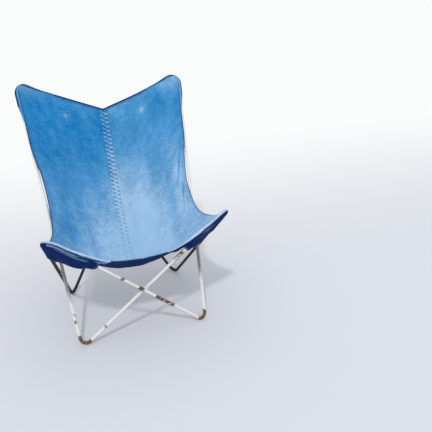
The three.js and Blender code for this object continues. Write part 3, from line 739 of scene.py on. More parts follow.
def cut_legs(rod):
    """Cuts the long straight faces into short ones, so that wear can change along a leg."""
    long_edge = 0.1
    bpy.ops.mesh.select_mode(type="EDGE")
    bpy.ops.mesh.select_all(action="DESELECT")
    shape = bmesh.from_edit_mesh(rod.data)
    for edge in shape.edges:
        edge.select_set(edge.calc_length() > long_edge)
    bmesh.update_edit_mesh(rod.data)
    bpy.ops.mesh.subdivide(number_cuts=LEG_CUTS)
    bpy.ops.mesh.select_mode(type="VERT")


def points_of(obj):
    points = np.empty(len(obj.data.vertices) * 3, np.float32)
    obj.data.vertices.foreach_get("co", points)
    return points.reshape(-1, 3).astype(float)


def near_leg(points, leg, start, end, fade):
    """1 for points beside a leg between two shares of it, fading out past both ends."""
    foot, tip = leg
    run = tip - foot
    part = (points - foot) @ run / (run @ run)
    off = np.linalg.norm(points - (foot + part[:, None] * run), axis=1)
    beside = 0.012
    return plateau(part, (start - fade, start), (end, end + fade)) * (off < beside)


def near_foot(points, foot, inside, outside):
    """1 for points inside one distance from a foot's corner, fading out toward another."""
    return 1 - smooth(np.linalg.norm(points - foot, axis=1), inside, outside)


def leg_marks(points, marks):
    """The strongest mark at each point. A mark is a leg, two shares of it, a fade and a strength."""
    strongest = np.zeros(len(points))
    for leg, start, end, fade, strength in marks:
        strongest = np.maximum(strongest, strength * near_leg(points, leg, start, end, fade))
    return strongest


def rod_wear(plan, points):
    """How much paint the rods have lost: at the foot bends, on the back feet's legs, and in patches."""
    left_front, right_front, _ = plan.crossings()["front"]
    left_tip, left_foot, _, _ = plan.corners("left")
    marks = [
        (right_front, 0.245, 0.355, 0.02, 0.74),
        (right_front, 0.440, 0.460, 0.02, 0.85),
        (right_front, 0.550, 0.565, 0.02, 0.70),
        (left_front, 0.160, 0.175, 0.02, 0.70),
        (left_front, 0.630, 0.690, 0.02, 0.64),
        ((left_foot, left_tip), 0.095, 0.110, 0.02, 0.75),
    ]
    wear = np.zeros(len(points))
    for loop in SIDES:
        back_tip, front_foot, front_tip, back_foot = plan.corners(loop)
        wear = np.maximum(wear, 0.90 * near_foot(points, front_foot, 0.034, 0.075))
        wear = np.maximum(wear, 0.95 * near_foot(points, back_foot, 0.06, 0.16))
        marks += [
            ((back_foot, front_tip), 0.00, 0.70, 0.20, 0.85),
            ((back_foot, back_tip), 0.00, 0.22, 0.20, 0.85),
            ((front_foot, back_tip), 0.28, 0.42, 0.10, 0.34),
        ]
    return np.maximum(wear, leg_marks(points, marks))


def rod_grime_and_shade(plan, points):
    """Where the rods are darkest: the back feet and their legs by rust, dirt and painted shade, and the front
    legs under the sling by the sling's painted shadow.
    """
    marks = []
    grime = np.zeros(len(points))
    for loop in SIDES:
        back_tip, front_foot, front_tip, back_foot = plan.corners(loop)
        # Dirt with painted shade round each back foot.
        grime = np.maximum(grime, near_foot(points, back_foot, 0.05, 0.20))
        marks += [
            # Painted shadow of the sling on the front legs, drawn as dirty paint.
            ((front_foot, back_tip), 0.20, 0.32, 0.05, 0.85),
            # Dirt with painted shade on the back feet's legs.
            ((back_foot, front_tip), 0.00, 0.60, 0.20, 0.65),
            ((back_foot, back_tip), 0.00, 0.22, 0.20, 0.80),
        ]
    return np.maximum(grime, leg_marks(points, marks))


def underside(rod):
    """Painted shade under a rod: 1 where its surface faces down, 0 where it faces up."""
    normals = np.empty(len(rod.data.vertices) * 3, np.float32)
    rod.data.vertices.foreach_get("normal", normals)
    return smooth(-normals[2::3], -0.1, 0.75)


def weld_bead(plan):
    """A short rippled bead along +X, modelled once at the origin. Its rings are shares of its radius."""
    radius = plan.sizes.bead
    first_ring, least_ring, crest, trough = 0.35, 0.3, 0.8, 0.68
    start_modelling()
    bpy.ops.mesh.primitive_circle_add(vertices=BEAD_SIDES, radius=first_ring * radius, fill_type="NGON",
                                      location=(-radius, 0, 0), rotation=(0, math.pi / 2, 0))
    bead = bpy.context.object
    settle()
    bpy.ops.object.mode_set(mode="EDIT")
    bpy.ops.mesh.select_all(action="SELECT")
    size = first_ring
    for k in range(1, BEAD_RIPPLES + 1):
        along = 2 * k / BEAD_RIPPLES - 1
        round_end = max(least_ring, math.sqrt(max(0, 1 - along * along)))
        crown = round_end * (crest if k % 2 else trough)
        bpy.ops.mesh.extrude_region_move(TRANSFORM_OT_translate={"value": (2 * radius / BEAD_RIPPLES, 0, 0)})
        bpy.ops.transform.resize(value=(1, crown / size, crown / size))
        size = crown
    bpy.ops.mesh.select_all(action="SELECT")
    bpy.ops.mesh.normals_make_consistent(inside=False)
    bpy.ops.object.mode_set(mode="OBJECT")
    bpy.ops.object.shade_smooth_by_angle(angle=math.radians(70))
    return bead


def crossing(leg_a, leg_b, level):
    """Where two legs cross, which way the nooks lie, how wide they open, and the direction along a bead."""
    a = unit(leg_a[1] - leg_a[0])
    b = unit(leg_b[1] - leg_b[0])
    between = leg_b[0] - leg_a[0]
    normal = np.cross(a, b)
    reach = float(np.cross(between, b) @ normal / (normal @ normal))
    normal = unit(normal)
    point = leg_a[0] + a * reach + normal * (between @ normal) / 2
    nook = unit(a - b if level else a + b)
    spread = math.acos(float(np.clip(nook @ a, -1, 1)))
    return point, nook, spread, unit(np.cross(nook, normal))


def copied(source, name):
    """A copy of an object with its own mesh."""
    copy = source.copy()
    copy.data = source.data.copy()
    copy.name = name
    bpy.context.scene.collection.objects.link(copy)
    return copy


def set_place(obj, point, turn):
    """Moves an object to a place and settles that place in its mesh."""
    start_modelling()
    obj.location = point
    obj.rotation_euler = turn
    obj.select_set(True)
    bpy.context.view_layer.objects.active = obj
    settle()


# Materials.

class Tree:
    """Short ways to add and join the nodes of one material or group."""

    def __init__(self, tree):
        self.tree = tree

    def add(self, kind, inputs=None, **settings):
        node = self.tree.nodes.new(kind)
        for key, value in settings.items():
            setattr(node, key, value)
        for key, value in (inputs or {}).items():
            self.give(node.inputs[key], value)
        return node

    def give(self, socket, value):
        if isinstance(value, bpy.types.NodeSocket):
            self.tree.links.new(value, socket)
        else:
            socket.default_value = value

    def math(self, operation, *values, clamp=False):
        inputs = dict(enumerate(values))
        return self.add("ShaderNodeMath", inputs, operation=operation, use_clamp=clamp).outputs[0]

    def blend(self, part, start, end, kind="MIX"):
        node = self.add("ShaderNodeMix", {0: part, 6: start, 7: end}, data_type="RGBA", blend_type=kind)
        return node.outputs[2]

    def between(self, value, low, high):
        inputs = {"Value": value, "From Min": low, "From Max": high}
        return self.add("ShaderNodeMapRange", inputs, interpolation_type="SMOOTHSTEP").outputs[0]

    def noise(self, vector, scale, detail=4.0, rough=0.55):
        inputs = {"Vector": vector, "Scale": scale, "Detail": detail, "Roughness": rough}
        return self.add("ShaderNodeTexNoise", inputs).outputs[0]

    def mask(self, name):
        return self.add("ShaderNodeAttribute", attribute_name=name).outputs["Fac"]

    def stretched(self, vector, scale):
        return self.add("ShaderNodeMapping", {"Vector": vector, "Scale": scale}).outputs[0]

    def object_map(self):
        return self.add("ShaderNodeTexCoord").outputs["Object"]

    def weave_map(self):
        return self.add("ShaderNodeUVMap", uv_map="weave").outputs[0]

    def ramp(self, value, colours):
        node = self.add("ShaderNodeValToRGB", {0: value})
        elements = node.color_ramp.elements
        for k, shade in enumerate(colours):
            element = elements[k] if k < 2 else elements.new(1.0)
            element.position = k / (len(colours) - 1)
            element.color = (*shade, 1)
        return node.outputs[0]


def new_group(name, inputs, outputs):
    """An empty shader group with its named sockets."""
    group = bpy.data.node_groups.new(name, "ShaderNodeTree")
    for socket, kind in inputs:
        group.interface.new_socket(socket, in_out="INPUT", socket_type=kind)
    for socket, kind in outputs:
        group.interface.new_socket(socket, in_out="OUTPUT", socket_type=kind)
    tree = Tree(group)
    return tree, tree.add("NodeGroupInput"), tree.add("NodeGroupOutput")


def weave_group():
    """Plain weave: threads pass over and under each other at a pitch in metres."""
    name = "plain weave"
    if name in bpy.data.node_groups:
        return bpy.data.node_groups[name]
    tree, into, out = new_group(name, [("Vector", "NodeSocketVector"), ("Pitch", "NodeSocketFloat")],
                                [("Height", "NodeSocketFloat")])
    axes = tree.add("ShaderNodeSeparateXYZ", {0: into.outputs["Vector"]})
    turns = [tree.math("DIVIDE", axes.outputs[k], into.outputs["Pitch"]) for k in (0, 1)]
    threads = [tree.math("SINE", tree.math("MULTIPLY", turn, math.pi)) for turn in turns]
    over = tree.math("GREATER_THAN", tree.math("MULTIPLY", *threads), 0.0)
    crowns = [tree.math("ABSOLUTE", thread) for thread in threads]
    lower = tree.math("MULTIPLY", crowns[1], tree.math("SUBTRACT", 1.0, over))
    tree.give(out.inputs["Height"], tree.math("MULTIPLY_ADD", crowns[0], over, lower))
    return tree.tree


def mottling_group():
    """Uneven fading of washed cloth, from broad clouds down to threads, over flat coordinates in metres."""
    name = "washed mottling"
    if name in bpy.data.node_groups:
        return bpy.data.node_groups[name]
    tree, into, out = new_group(name, [("Vector", "NodeSocketVector")], [("Value", "NodeSocketFloat")])
    flat = into.outputs["Vector"]
    clouds = tree.noise(tree.stretched(flat, (14, 6, 1)), scale=1.0, detail=3.0)
    patches = tree.noise(flat, scale=34.0, detail=3.0)
    spots = tree.noise(flat, scale=190.0, rough=0.65)
    warp = tree.noise(tree.stretched(flat, (420, 150, 1)), scale=1.0, detail=2.0, rough=0.6)
    weft = tree.noise(tree.stretched(flat, (150, 420, 1)), scale=1.0, detail=2.0, rough=0.6)
    total = tree.math("MULTIPLY", spots, 0.38)
    for layer, weight in ((clouds, 0.24), (patches, 0.14), (warp, 0.12), (weft, 0.12)):
        total = tree.math("MULTIPLY_ADD", layer, weight, total)
    tree.give(out.inputs["Value"], tree.between(total, 0.38, 0.62))
    return tree.tree


def canvas_group(colours):
    """Canvas colour from masks: how faded the blue is, where it is still navy and where rubbed pale. The masks
    also carry painted light and shade of folds, creases, wrinkles and the seam's puckers.
    """
    name = "aged canvas"
    if name in bpy.data.node_groups:
        return bpy.data.node_groups[name]
    sockets = [(socket, "NodeSocketFloat") for socket in ("Fade", "Dark", "Worn", "Mottle")]
    tree, into, out = new_group(name, sockets, [("Color", "NodeSocketColor")])
    mottle = into.outputs["Mottle"]
    uneven = tree.math("MULTIPLY_ADD", mottle, 0.46, -0.23)
    level = tree.math("ADD", into.outputs["Fade"], uneven, clamp=True)
    face = tree.ramp(level, [colours.deep, colours.washed, colours.bleached])
    navy = [rgba([part * strength for part in colours.navy]) for strength in (0.75, 1.3)]
    shade = tree.blend(into.outputs["Dark"], face, tree.blend(mottle, *navy))
    rubbed = tree.math("MULTIPLY", into.outputs["Worn"], tree.math("ADD", uneven, 0.8), clamp=True)
    shade = tree.blend(rubbed, shade, rgba(colours.worn))
    tree.give(out.inputs["Color"], shaded(tree, shade, tree.math("MULTIPLY_ADD", mottle, 0.24, 0.88)))
    return tree.tree


def rust_group():
    """Bare and rusty places with broken edges, from a wear mask."""
    name = "rust through paint"
    if name in bpy.data.node_groups:
        return bpy.data.node_groups[name]
    tree, into, out = new_group(name, [("Wear", "NodeSocketFloat"), ("Vector", "NodeSocketVector")],
                                [("Bare", "NodeSocketFloat"), ("Tone", "NodeSocketFloat")])
    vector = into.outputs["Vector"]
    breakup = tree.noise(vector, scale=150.0, detail=5.0, rough=0.65)
    patches = tree.noise(vector, scale=60.0, detail=2.0, rough=0.5)
    rough = tree.math("MULTIPLY_ADD", breakup, 0.6, tree.math("MULTIPLY_ADD", patches, 1.1, -0.85))
    bare = tree.between(tree.math("ADD", into.outputs["Wear"], rough), 0.42, 0.72)
    chips = tree.between(tree.noise(vector, scale=60.0, detail=5.0, rough=0.7), 0.64, 0.69)
    tree.give(out.inputs["Bare"], tree.math("MAXIMUM", bare, chips))
    tree.give(out.inputs["Tone"], tree.between(tree.noise(vector, scale=170.0, rough=0.6), 0.35, 0.65))
    return tree.tree


def use_group(tree, group, inputs):
    node = tree.add("ShaderNodeGroup", node_tree=group)
    for key, value in inputs.items():
        tree.give(node.inputs[key], value)
    return node


def new_material(name):
    """A material with its shader left in place, as a tree, the shader and the material."""
    material = bpy.data.materials.new(name)
    material.use_nodes = True
    return Tree(material.node_tree), material.node_tree.nodes["Principled BSDF"], material


def rgba(shade):
    return (*shade, 1)


def set_sockets(shader, values):
    """Sets those sockets of a shader that are the same all over its surface."""
    for socket, value in values.items():
        shader.inputs[socket].default_value = value


def surface_bump(tree, shader, height, strength, distance):
    bump = tree.add("ShaderNodeBump", {"Height": height, "Strength": strength, "Distance": distance})
    tree.give(shader.inputs["Normal"], bump.outputs[0])


def shaded(tree, shade, level):
    """A colour made darker or lighter by a level."""
    grey = tree.add("ShaderNodeCombineColor", {0: level, 1: level, 2: level}).outputs[0]
    return tree.blend(1.0, shade, grey, "MULTIPLY")


def canvas(name, colours, pitch, rough):
    """Woven cotton: the canvas colour over a weave of a given pitch, with a dull soft surface."""
    tree, shader, material = new_material(name)
    set_sockets(shader, {"Roughness": rough, "Sheen Weight": 0.01, "Sheen Roughness": 0.6,
                         "Specular IOR Level": 0.04})
    flat = tree.weave_map()
    weave = use_group(tree, weave_group(), {"Vector": flat, "Pitch": pitch}).outputs[0]
    masks = {socket: tree.mask(socket.lower()) for socket in ("Fade", "Dark", "Worn")}
    masks["Mottle"] = use_group(tree, mottling_group(), {"Vector": flat}).outputs[0]
    shade = use_group(tree, canvas_group(colours), masks).outputs[0]
    between_threads = tree.math("MULTIPLY_ADD", weave, 0.12, 0.88)
    tree.give(shader.inputs["Base Color"], shaded(tree, shade, between_threads))
    slubs = tree.noise(flat, scale=260.0, detail=3.0, rough=0.6)
    height = tree.math("MULTIPLY_ADD", weave, 0.5, tree.math("MULTIPLY", slubs, 0.8))
    surface_bump(tree, shader, height, strength=0.35, distance=0.0008)
    return material


def faded_canvas(colours):
    return canvas("washed blue canvas", colours, pitch=0.0011, rough=0.92)


def navy_canvas(colours):
    return canvas("navy canvas", colours, pitch=0.0011, rough=0.9)


def pale_tape(colours):
    return canvas("pale seam tape", colours, pitch=0.0008, rough=0.88)


def sewing_thread(colours):
    """Stitches: dark twisted thread that fades to pale toward the seat."""
    tree, shader, material = new_material("sewing thread")
    set_sockets(shader, {"Roughness": 0.75})
    fibres = tree.noise(tree.object_map(), scale=900.0, detail=2.0)
    twist = tree.between(tree.math("SINE", tree.math("MULTIPLY", fibres, 18.0)), -1.0, 1.0)
    shade = tree.blend(tree.mask("fade"), rgba(colours.thread), rgba(colours.pale_thread))
    shade = tree.blend(tree.math("MULTIPLY", twist, 0.12), shade, rgba(colours.washed))
    tree.give(shader.inputs["Base Color"], shade)
    surface_bump(tree, shader, twist, strength=0.3, distance=0.0004)
    return material


def chipped_paint(colours):
    """White paint: greyed by the sling's painted shadow on the front legs, dirty with painted shade on the
    back legs, darker below the rods by painted shade, chipped to rust by a mask and in spots.
    """
    tree, shader, material = new_material("chipped white paint")
    vector = tree.object_map()
    grime = tree.mask("grime")
    rust = use_group(tree, rust_group(), {"Wear": tree.mask("wear"), "Vector": vector})
    bare = rust.outputs["Bare"]
    metal = tree.blend(rust.outputs["Tone"], rgba(colours.dark_rust), rgba(colours.rust))
    # Bare metal turned near black by dirt and painted shade.
    metal = tree.blend(tree.math("MULTIPLY", grime, 0.92), metal, rgba(colours.dirt_and_shade))
    stain = tree.between(tree.noise(vector, scale=28.0, detail=5.0, rough=0.6), 0.5, 0.8)
    yellowing = (0.82, 0.78, 0.70)
    dull = [part * white for part, white in zip(yellowing, colours.paint)]
    paint = tree.blend(tree.math("MULTIPLY", stain, 0.5), rgba(colours.paint), rgba(dull))
    # Paint greyed by the sling's painted shadow on the front legs, and by dirt with painted shade on the back
    # legs.
    paint = tree.blend(grime, paint, rgba(colours.soot_and_shade))
    # Painted shade: the colour is darkened where the rod faces down.
    underside_shade_level = tree.math("MULTIPLY_ADD", tree.mask("under"), -0.45, 1.0)
    tree.give(shader.inputs["Base Color"], shaded(tree, tree.blend(bare, paint, metal), underside_shade_level))
    gloss = tree.add("ShaderNodeMapRange", {"Value": bare, "To Min": 0.38, "To Max": 0.85})
    tree.give(shader.inputs["Roughness"], gloss.outputs[0])
    grain = tree.noise(vector, scale=320.0, rough=0.6)
    height = tree.math("MULTIPLY_ADD", bare, -0.6, tree.math("MULTIPLY", grain, 0.25))
    surface_bump(tree, shader, height, strength=0.4, distance=0.0006)
    return material


def weld_metal(colours):
    """Weld beads: painted over, with rust coming through."""
    tree, shader, material = new_material("rusty weld")
    set_sockets(shader, {"Roughness": 0.7})
    vector = tree.object_map()
    rust = use_group(tree, rust_group(), {"Wear": 0.48, "Vector": vector})
    metal = tree.blend(rust.outputs["Tone"], rgba(colours.dark_rust), rgba(colours.rust))
    tree.give(shader.inputs["Base Color"], tree.blend(rust.outputs["Bare"], rgba(colours.paint), metal))
    surface_bump(tree, shader, tree.noise(vector, scale=500.0, rough=0.6), strength=0.5, distance=0.0005)
    return material


def named_material(make, colours):
    """The material of a finish, made on its first use."""
    key = make.__name__
    for material in bpy.data.materials:
        if material.get("finish") == key:
            return material
    material = make(colours)
    material["finish"] = key
    return material


# Sling pieces.

def panel_fade(half, u, v):
    """How bleached the face is: most on the seat and beside the seam, least high on the left of the back. It
    also carries painted shade in a fold on the left and in the right creases, and painted light and shade
    along the side folds.
    """
    low, start, end, drop = half.own(((0.10, 0.25, 0.92, 0.38), (0.30, 0.38, 0.93, 0.30)))
    seat = (low + 0.9 * (1 - smooth(v, start, end))) * (1 - drop * smooth(u, 0.25, 0.85))
    seam = 0.22 * hump(u, 0.2) * (1 - smooth(v, 0.70, 0.86))
    from_tip = np.hypot((1 - u) * ABOUT_HALF_WIDTH, (1 - v) * ABOUT_LENGTH)
    top = 0.35 * (1 - smooth(from_tip, 0.02, 0.14)) + 0.12 * smooth(v, 0.93, 0.99)
    u0, v0 = bartack_spot(half)
    from_bartack = np.hypot((u - u0) * half.top.length, (v - v0) * half.edge.length)
    rubbed = 0.3 * hump(u - u0, 0.07) * hump(v - v0, 0.02) + 0.8 * hump(from_bartack, 0.006)
    # Painted shade of a fold high on the left.
    painted_fold_shade = half.own((0.22, 0.0)) * hump(v - 0.38, 0.05) * hump(u - 0.78, 0.14)
    # Painted light and shade along the side folds: paler on their crests, darker in their troughs.
    folds = half.own((0.06, 0.15)) * half.side_folds(u, v) / half.fold_depth
    # The creases are darkened by painted shade.
    return seat + seam + top + rubbed - painted_fold_shade + folds - 0.4 * half.creases(u, v)


def panel_dark(half, u, v):
    """Where the face is still navy: a thin line along its rims, and a line beside each rolled edge, which is
    partly a seam line and partly painted shade under the roll.
    """
    from_top = (1 - v) * half.middle.length
    top = 1 - smooth(from_top, 0.001, mix(0.005, 0.010, smooth(u, 0.70, 0.85)))
    from_side = (1 - u) * half.reach(v)
    free = plateau(v, row_at([FRONT_ROWS - 1, FRONT_ROWS]), (0.94, 0.98))
    side = 0.5 * free * (1 - smooth(from_side, 0.001, 0.004))
    # The line beside each front hem's lip is partly a seam line and partly painted shade where the roll
    # overhangs the face.
    past_lip = v * half.middle.length - half.own(half.sewing.lip_width)
    lip = half.own((0.2, 0.5)) * hump(past_lip - 0.0035, 0.0025) * plateau(u, (0.45, 0.65), (0.90, 0.97))
    return np.maximum(np.maximum(top, side), lip)


def panel_worn(half, u, v):
    """The rubbed front hem."""
    past_lip = v * half.middle.length - half.own(half.sewing.lip_width)
    return half.own((0.8, 1.0)) * (1 - smooth(past_lip, -0.0025, 0.0025)) * smooth(u, 0.2, 0.4)


def flat_map(half, u, v):
    """Flat coordinates of the cloth in metres."""
    return np.stack([half.side * u * half.reach(v), v * half.middle.length], axis=-1)


def sling_panel(half, material):
    """One half of the sling, with the area of its middle surface. Its rows crowd toward the ends."""
    crowded = row_at(np.linspace(0, GRID_ROWS, PANEL_ROWS + 1))
    rows = mix(crowded, np.linspace(0, 1, PANEL_ROWS + 1), 0.5)
    columns = column_at(np.linspace(0, GRID_COLUMNS, PANEL_COLUMNS + 1))
    v, u = np.meshgrid(rows, columns, indexing="ij")
    pucker = seam_pucker(half, u, v)
    thick = half.sling.cloth / 2
    points, faces = shell(half.at(u, v, thick + pucker), half.at(u, v, pucker - thick))
    fade = twice(panel_fade(half, u, v))
    dark = np.concatenate([panel_dark(half, u, v).ravel(), np.ones(u.size)])
    worn = np.concatenate([panel_worn(half, u, v).ravel(), np.zeros(u.size)])
    name = f"sling_panel_{half.name}"
    weave = twice(flat_map(half, u, v))
    panel = cloth_piece(f"{name}_canvas", points, faces, weave, fade=fade, dark=dark, worn=worn)
    dress(panel, name, material)
    return panel, surface_area(half.at(u, v))


def seam_pucker(half, u, v):
    """Small gathers that the centre seam pulls into the cloth beside it."""
    height, middle, width = 0.00045, 0.014, 0.010
    run = v * half.middle.length / half.sewing.stitch_pitch
    inside = smooth(v, 0.01, 0.05) * smooth(1 - v, 0.01, 0.05)
    return height * hump(u * half.reach(v) - middle, width) * inside * np.sin(2 * np.pi * run)


def pocket_row(is_back, k):
    return row_at(k if is_back else k * FRONT_ROWS / FRONT_STATIONS)


def rod_near(tip, point, on_side):
    """The nearest point of the rod's axis at a tip, and the direction out of the loop there."""
    offset = point - tip["centre"]
    angle = math.atan2(offset @ tip["across"], offset @ tip["tipward"])
    if abs(angle) <= tip["turn"]:
        return bend_point(tip, angle), bend_direction(tip, angle)
    limit = tip["turn"] if on_side else -tip["turn"]
    start = bend_point(tip, limit)
    leg = tip["b"] if on_side else tip["a"]
    return start + leg * max(0.0, (point - start) @ leg), bend_direction(tip, limit)


class PocketPlan:
    """One corner pocket: it rolls round the rod from the sling's edge and closes across behind the tip."""

    def __init__(self, half, is_back):
        self.half = half
        self.is_back = is_back
        self.tip = half.back if is_back else half.front
        self.stations = BACK_STATIONS if is_back else FRONT_STATIONS
        self.hem_stretch = 1.0 if is_back else half.own(FRONT_HEM_END) / FRONT_STATIONS
        self.hem_length = (half.top if is_back else half.hem).length
        sewing, sling, sizes = half.sewing, half.sling, half.plan.sizes
        self.slack = sewing.back_slack if is_back else half.own(sewing.front_slack)
        self.closed_lift = sling.cloth / 2 + sizes.gap if is_back else sewing.front_lip / 2
        self.stand_off = 5 * sizes.gap
        self.behind = half.lift + 4 * sizes.gap
        rolled = self.tip["turn"] * sizes.tip_bend
        touched = -half.top_touch * sizes.tip_bend
        self.held = (touched, rolled + sling.back_run) if is_back else (rolled + sling.hem_run, rolled)

    def edge_point(self, k, on_side):
        """A point of the sling's edge at a station counted from the tip, and its run along the edge."""
        half = self.half
        if on_side:
            row = pocket_row(self.is_back, k)
            point = half.at(1.0, 1 - row if self.is_back else row)
            return point, row * half.edge.length
        u = column_at(GRID_COLUMNS - k * self.hem_stretch)
        return half.at(u, 1.0 if self.is_back else 0.0), (1 - u) * self.hem_length

    def section(self, k, on_side):
        """Points and outward directions of one cross-section, and the place behind the rod where it ends."""
        half = self.half
        edge, run = self.edge_point(k, on_side)
        held = self.held[1 if on_side else 0]
        closing = float(smooth(run, held, held + half.sling.closing_run))
        lift = mix(half.lift, self.closed_lift, closing)
        axis, out_of_loop = rod_near(self.tip, edge, on_side)
        normal = self.tip["normal"]
        centre = edge - normal * lift + out_of_loop * self.stand_off

        def arc(start, end, steps):
            angles = np.linspace(start, end, steps + 1)[:, None]
            return np.cos(angles) * out_of_loop + np.sin(angles) * normal

        roll_end = mix(-0.35, -math.pi / 2, closing)
        wrap_start = mix(-0.7, 0.9, closing)
        roll_out = arc(math.pi / 2, roll_end, ROLL_STEPS)
        wrap_out = arc(wrap_start, -math.pi / 2, WRAP_STEPS)
        roll = centre + roll_out * lift
        wrap = axis + wrap_out * self.behind
        steps = np.linspace(0, 1, FACE_STEPS + 2)[1:-1, None]
        face = mix(roll[-1], wrap[0], steps)
        face_out = unit(mix(roll_out[-1], wrap_out[0], steps))
        points = np.vstack([roll, face, wrap])
        outs = np.vstack([roll_out, face_out, wrap_out])
        return points, outs, axis - normal * self.behind

    def lines(self):
        """Sections from the hem's mouth round the tip to the side's mouth, each closed to the middle."""
        centre = self.tip["centre"] - self.tip["normal"] * self.behind
        rows = []
        for k in np.linspace(0, self.stations, POCKET_STATIONS + 1):
            pair = [self.section(k, on_side) for on_side in (False, True)]
            middle = (pair[0][2] + pair[1][2]) / 2
            if (middle - centre) @ self.tip["tipward"] > 0:
                middle = centre
            part = k / self.stations
            rows.append([self.finished(section, middle, part) for section in pair])
        hem = [row[0] for row in rows[:0:-1]]
        return hem + [row[1] for row in rows]

    def finished(self, section, middle, part):
        """A cross-section with its inner stretch, which sags from behind the rod to the middle line."""
        points, outs, behind_rod = section
        back = -self.tip["normal"]
        steps = np.linspace(0, 1, INNER_STEPS + 1)[1:]
        sag = self.slack * part * (steps + 0.4 * np.sin(9 * steps) * (1 - steps))
        inner = mix(behind_rod, middle, steps[:, None]) + sag[:, None] * back
        return np.vstack([points, inner]), np.vstack([outs, np.tile(back, (INNER_STEPS, 1))])


def pocket(half, is_back, material):
    """One corner pocket, with the area of its middle surface."""
    points, outs = (np.array(part) for part in zip(*PocketPlan(half, is_back).lines()))
    points = slanted(points, is_back, BACK_SLANT if is_back else half.own(FRONT_SLANT))
    rows, columns = points.shape[:2]
    along = np.linspace(-1, 1, rows)[:, None]
    across = np.arange(columns)[None, :]
    face = np.clip((across - ROLL_STEPS) / FACE_STEPS, 0, 1)
    deep = run_along(points, 1)
    wrinkle, rubbed_and_highlit_streaks = pocket_wrinkles(half, is_back, along, face, deep)
    points = points + outs * wrinkle[..., None]
    to_mouth = np.abs(along)
    under = half.sling.cloth / 2
    over = (under * (1 + 0.6 * smooth(to_mouth, 0.955, 0.975)))[..., None]
    mesh_points, faces = shell(points + outs * over, points - outs * under, closes_on_itself=True)
    fade, dark, lip = pocket_tones(half, is_back, along, across)
    rubbed_hem = 0.22 * smooth(to_mouth, 0.975, 0.995)
    # Along the wrinkles over the rod the canvas is lighter and less navy: rubbed, and partly painted
    # highlight.
    worn = np.maximum(np.maximum(lip, 0.25 * rubbed_and_highlit_streaks), rubbed_hem)
    masks = {"fade": fade, "dark": dark * (1 - 0.5 * rubbed_and_highlit_streaks), "worn": worn}
    masks = {mask: twice(np.broadcast_to(value, (rows, columns))) for mask, value in masks.items()}
    run = run_along(points, 0).mean(axis=1)
    weave = np.stack([np.broadcast_to(run[:, None], deep.shape), deep], axis=-1)
    name = f"{'back' if is_back else 'front'}_pocket_{half.name}"
    piece = cloth_piece(f"{name}_canvas", mesh_points, faces, twice(weave), **masks)
    dress(piece, name, material)
    return piece, surface_area(points)


def slanted(points, is_back, slant):
    """Draws the columns behind the roll back from one mouth, so that the mouth is cut on a slant."""
    along = np.linspace(-1, 1, len(points))
    across = np.arange(points.shape[1])
    behind = ROLL_STEPS + FACE_STEPS + WRAP_STEPS
    full = ROLL_STEPS if is_back else ROLL_STEPS + FACE_STEPS
    drawn = plateau(across, (0.15 * ROLL_STEPS, full), (behind, across[-1]))
    mouth = along > 0 if is_back else along < 0
    result = np.empty_like(points)
    for column, part in enumerate(drawn):
        kept = along * np.where(mouth, 1 - slant * part, 1)
        for axis in range(3):
            result[:, column, axis] = np.interp(kept, along, points[:, column, axis])
    return result


def pocket_tones(half, is_back, along, across):
    """How faded a pocket's roll is, where the navy starts on it, and where it is rubbed."""
    if is_back:
        navy_start = mix(0.0, 5.0, smooth(along, 0.1, 0.35))
        return half.own((0.4, 0.55)), smooth(across - navy_start, 0.0, 2.6), 0.0
    early = half.own((0.0, 0.4)) * smooth(-along, 0.72, 0.88)
    turned = smooth(across / ROLL_STEPS + early, 0.7, 1.0)
    outside = across < ROLL_STEPS + FACE_STEPS
    pale_end = half.own((0.65, 0.0)) * smooth(-along, 0.88, 0.97) * outside
    return half.own((0.6, 0.8)), turned * (1 - pale_end), 0.9 * (1 - turned)


def pocket_wrinkles(half, is_back, along, face, deep):
    """Heights of a pocket's wrinkles, always outward, and the pale lines along them, which are rubbed canvas
    and partly painted highlight.
    """
    on_face = np.sin(np.pi * face) ** 0.8
    far = np.abs(along)
    open_part = smooth(far, 0.25, 0.7)
    if is_back:
        ridge = 0.5 + 0.5 * np.sin(2 * np.pi * (9 * far - 3.2 * face) / 2.1)
        return 0.0012 * on_face * open_part * ridge, np.zeros_like(deep)
    wrap = ROLL_STEPS + FACE_STEPS
    inner = wrap + WRAP_STEPS
    mouth = ROLL_STEPS + 0.15 * FACE_STEPS
    over_columns = (wrap + 4, wrap + 3, wrap + 2, wrap - 14, mouth)
    over_rod = streak(along, deep, (0.02, 0.3, 0.55, 0.8, 0.97), over_columns)
    below_rod = streak(along, deep, (0.3, 0.6, 0.9), (inner + 2, inner + 1, wrap + 5))
    if half.side > 0:
        over_rod = 0.8 * over_rod * smooth(-along, 0.50, 0.68)
        below_rod = 0.2 * below_rod
    height = 0.0015 * on_face * open_part + 0.0012 * (over_rod + below_rod)
    return height, np.maximum(over_rod, 0.75 * below_rod)


def streak(along, deep, places, columns):
    """A crest on the hem's half of a pocket that runs through given columns at given places along it."""
    fade, width = 0.12, 0.003
    far = -along[:, 0]
    column = np.interp(far, places, columns)
    whole = np.arange(deep.shape[1])
    centre = np.array([np.interp(spot, whole, row) for spot, row in zip(column, deep)])
    shown = plateau(far, (places[0], places[0] + fade), (places[-1] - fade, places[-1]))
    return shown[:, None] * hump(deep - centre[:, None], width)


